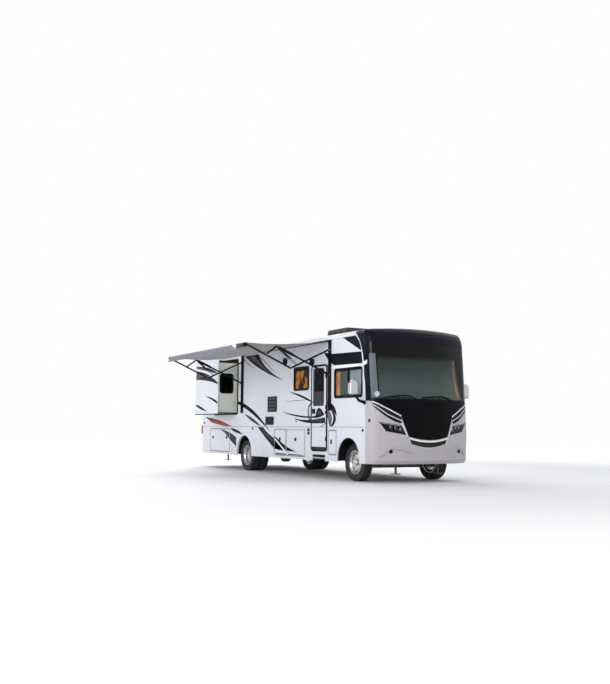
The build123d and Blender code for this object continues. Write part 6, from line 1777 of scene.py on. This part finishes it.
class DressRoof(bpy.types.Operator):
    """Fits the louvres of the cooling unit and the vents' lids"""
    bl_idname = "coach.dress_roof"
    bl_label = "Roof"

    def execute(self, context):
        top = probe("roof_units")
        down = -UP
        louvre = item_object("Unit Louvre", local_block(0.62, 0.01, 0.006, 0.001))
        rows = [(louvre, row_tree, {"Count": 9, "Centre": at(-2.08, side * 0.345, 3.375),
            "Step": Vector((0, -side * 0.0026, 0.016))}) for _, side in BOTH_SIDES]
        rows_piece("unit_louvres", "Trim Black", rows)
        lids = bmesh.new()
        for x in (-4.3, -6.9):
            height = top.ray_cast(at(x, 0.0, 5.0), down)[0].z
            rings = [(0.195, -0.02), (0.2, -0.006), (0.19, 0.006), (0.15, 0.018), (0.08, 0.026)]
            outlines = [[at(px, py, height + h) for px, py in rounded(x - r, x + r, -r, r, r * 0.3)] for r,
                h in rings]
            loops = [[lids.verts.new(p) for p in line] for line in outlines]
            for a, b in zip(loops, loops[1:]):
                for i in range(len(a)):
                    lids.faces.new((a[i - 1], a[i], b[i], b[i - 1]))
            lids.faces.new(loops[-1])
            lids.faces.new(loops[0][::-1])
        piece("vent_lids", lids, "Tinted Glass")
        return {"FINISHED"}


class DressRear(bpy.types.Operator):
    """Fits the ladder's feet, the blank plate and the rear seam"""
    bl_idname = "coach.dress_rear"
    bl_label = "Rear"

    def execute(self, context):
        feet, plate, seam = bmesh.new(), bmesh.new(), bmesh.new()
        back = -AHEAD
        for y in (0.62, 0.98):
            for z in (0.8, 1.7, 2.6, 3.19):
                lathe(feet, [(0.0, 0.01), (0.016, 0.009), (0.03, 0.004), (0.032, 0.0), (0.0, -0.001)],
                    at(REAR_X, y, z), back, 24)
        prism(plate, rounded(-0.165, 0.165, 0.98, 1.15, 0.01), rear_place(), -0.001, 0.006)
        frame_ring(seam, (1.1, -1.1, 1.225, 3.06), 0.0, 0.008, 0.08, rear_place(), -0.001, 0.0016, 0.0006)
        piece("ladder_feet", feet, "Ladder Metal")
        piece("blank_plate", plate, "White Plastic")
        piece("rear_cap_seam", seam, "Grey Trim")
        return {"FINISHED"}


# Stage

EYE = (19.7124, -10.4925, 1.111)
YAW, PITCH, ROLL = radians(150.78), radians(5.74), radians(0.5)
LENS = 45.78
LAMPS = (
    # Name, place, target, size, power, shows in reflections
    ("Key", (8.0, -17.0, 5.0), (-3.0, 0.0, 2.0), 9.0, 1400.0, True),
    ("Fill", (15.0, 9.0, 8.0), (-2.0, 0.0, 1.5), 9.0, 220.0, False),
    ("Over", (-3.5, 0.0, 12.0), (-3.5, 0.0, 0.0), 12.0, 900.0, True),
    ("Back", (-15.0, 3.0, 9.0), (-4.0, 0.0, 1.5), 8.0, 600.0, True),
)


class LayStage(bpy.types.Operator):
    """Lays the floor and sets the lamps and the camera"""
    bl_idname = "coach.lay_stage"
    bl_label = "Stage"

    def execute(self, context):
        scene = context.scene
        bm = bmesh.new()
        bmesh.ops.create_circle(bm, cap_ends=True, radius=60.0, segments=96)
        floor = in_scene("studio_floor", mesh_of("studio_floor", bm))
        material, net, put = surface("Studio Floor", roughness=0.85)
        x, y, _ = net.xyz()
        away = net.add("ShaderNodeVectorMath", {0: net.add("ShaderNodeCombineXYZ",
            {0: net.sum("ADD", x, 3.5), 1: y}) .outputs[0]}, operation="LENGTH").outputs["Value"]
        seen = net.times(net.ramp(away, 7.5, 17.0), net.shows_background())
        pale = net.mix(net.noise(1.5, 3.0), (0.8, 0.8, 0.8), (0.84, 0.84, 0.84))
        put("Base Color", net.mix(seen, pale, (0.0, 0.0, 0.0)))
        put("Emission Color", net.mix(seen, (0.0, 0.0, 0.0), (1.0, 1.0, 1.0)))
        put("Emission Strength", 1.0)
        floor.data.materials.append(material)
        self.light(scene)
        self.aim(scene)
        scene.view_settings.view_transform = "Standard"
        return {"FINISHED"}

    def light(self, scene):
        for name, place, target, size, power, mirrored in LAMPS:
            lamp = bpy.data.lights.new(name, "AREA")
            lamp.shape = "DISK"
            lamp.size = size
            lamp.energy = power
            obj = in_scene(name, lamp)
            obj.location = place
            obj.visible_glossy = mirrored
            obj.visible_transmission = mirrored
            obj.rotation_euler = (Vector(target) - Vector(place)).to_track_quat("-Z", "Y").to_euler()
        world = bpy.data.worlds.new("Studio")
        scene.world = world
        world.use_nodes = True
        net = Net(world.node_tree)
        sky = world.node_tree.nodes["Background"]
        net.feed(sky, "Color", net.mix(net.shows_background(), (0.62, 0.64, 0.68), (1.0, 1.0, 1.0)))
        sky.inputs["Strength"].default_value = 1.0

    def aim(self, scene):
        ahead = Vector((cos(PITCH) * cos(YAW), cos(PITCH) * sin(YAW), sin(PITCH)))
        right = ahead.cross(UP).normalized()
        up = right.cross(ahead)
        turned = right * cos(ROLL) + up * sin(ROLL)
        raised = up * cos(ROLL) - right * sin(ROLL)
        camera = in_scene("Camera", bpy.data.cameras.new("Camera"))
        columns = Matrix((turned, raised, -ahead)).transposed()
        camera.matrix_world = Matrix.Translation(EYE) @ columns.to_4x4()
        camera.data.sensor_fit = "AUTO"
        camera.data.sensor_width = 36.0
        camera.data.lens = LENS
        camera.data.clip_end = 200.0
        scene.camera = camera


STEPS = (FinishNodes, LayStripes, TrimNose, FitLamps, DressWindows, HangCabBlind, DressEntry, DressDoors,
    DressSlide, HangAwning, FitTyres, DressWheels, TrimSides, DressRoof, DressRear, LayStage)


class CoachPanel(bpy.types.Panel):
    """Lists the dressing's steps in the sidebar"""
    bl_idname = "VIEW3D_PT_coach"
    bl_label = "Motorhome Dressing"
    bl_space_type = "VIEW_3D"
    bl_region_type = "UI"
    bl_category = "Motorhome"

    def draw(self, context):
        for group in (context.scene.coach_colours, context.scene.coach_sizes):
            for name in group.__annotations__:
                self.layout.prop(group, name)
        for step in STEPS:
            self.layout.operator(step.bl_idname)


CLASSES = (CoachColours, CoachSizes) + STEPS + (CoachPanel,)


def register():
    for cls in CLASSES:
        bpy.utils.register_class(cls)
    bpy.types.Scene.coach_colours = bpy.props.PointerProperty(type=CoachColours)
    bpy.types.Scene.coach_sizes = bpy.props.PointerProperty(type=CoachSizes)


def unregister():
    del bpy.types.Scene.coach_colours
    del bpy.types.Scene.coach_sizes
    for cls in reversed(CLASSES):
        bpy.utils.unregister_class(cls)


def main():
    register()
    for step in STEPS:
        group, name = step.bl_idname.split(".")
        getattr(getattr(bpy.ops, group), name)()


if __name__ == "__main__":
    main()
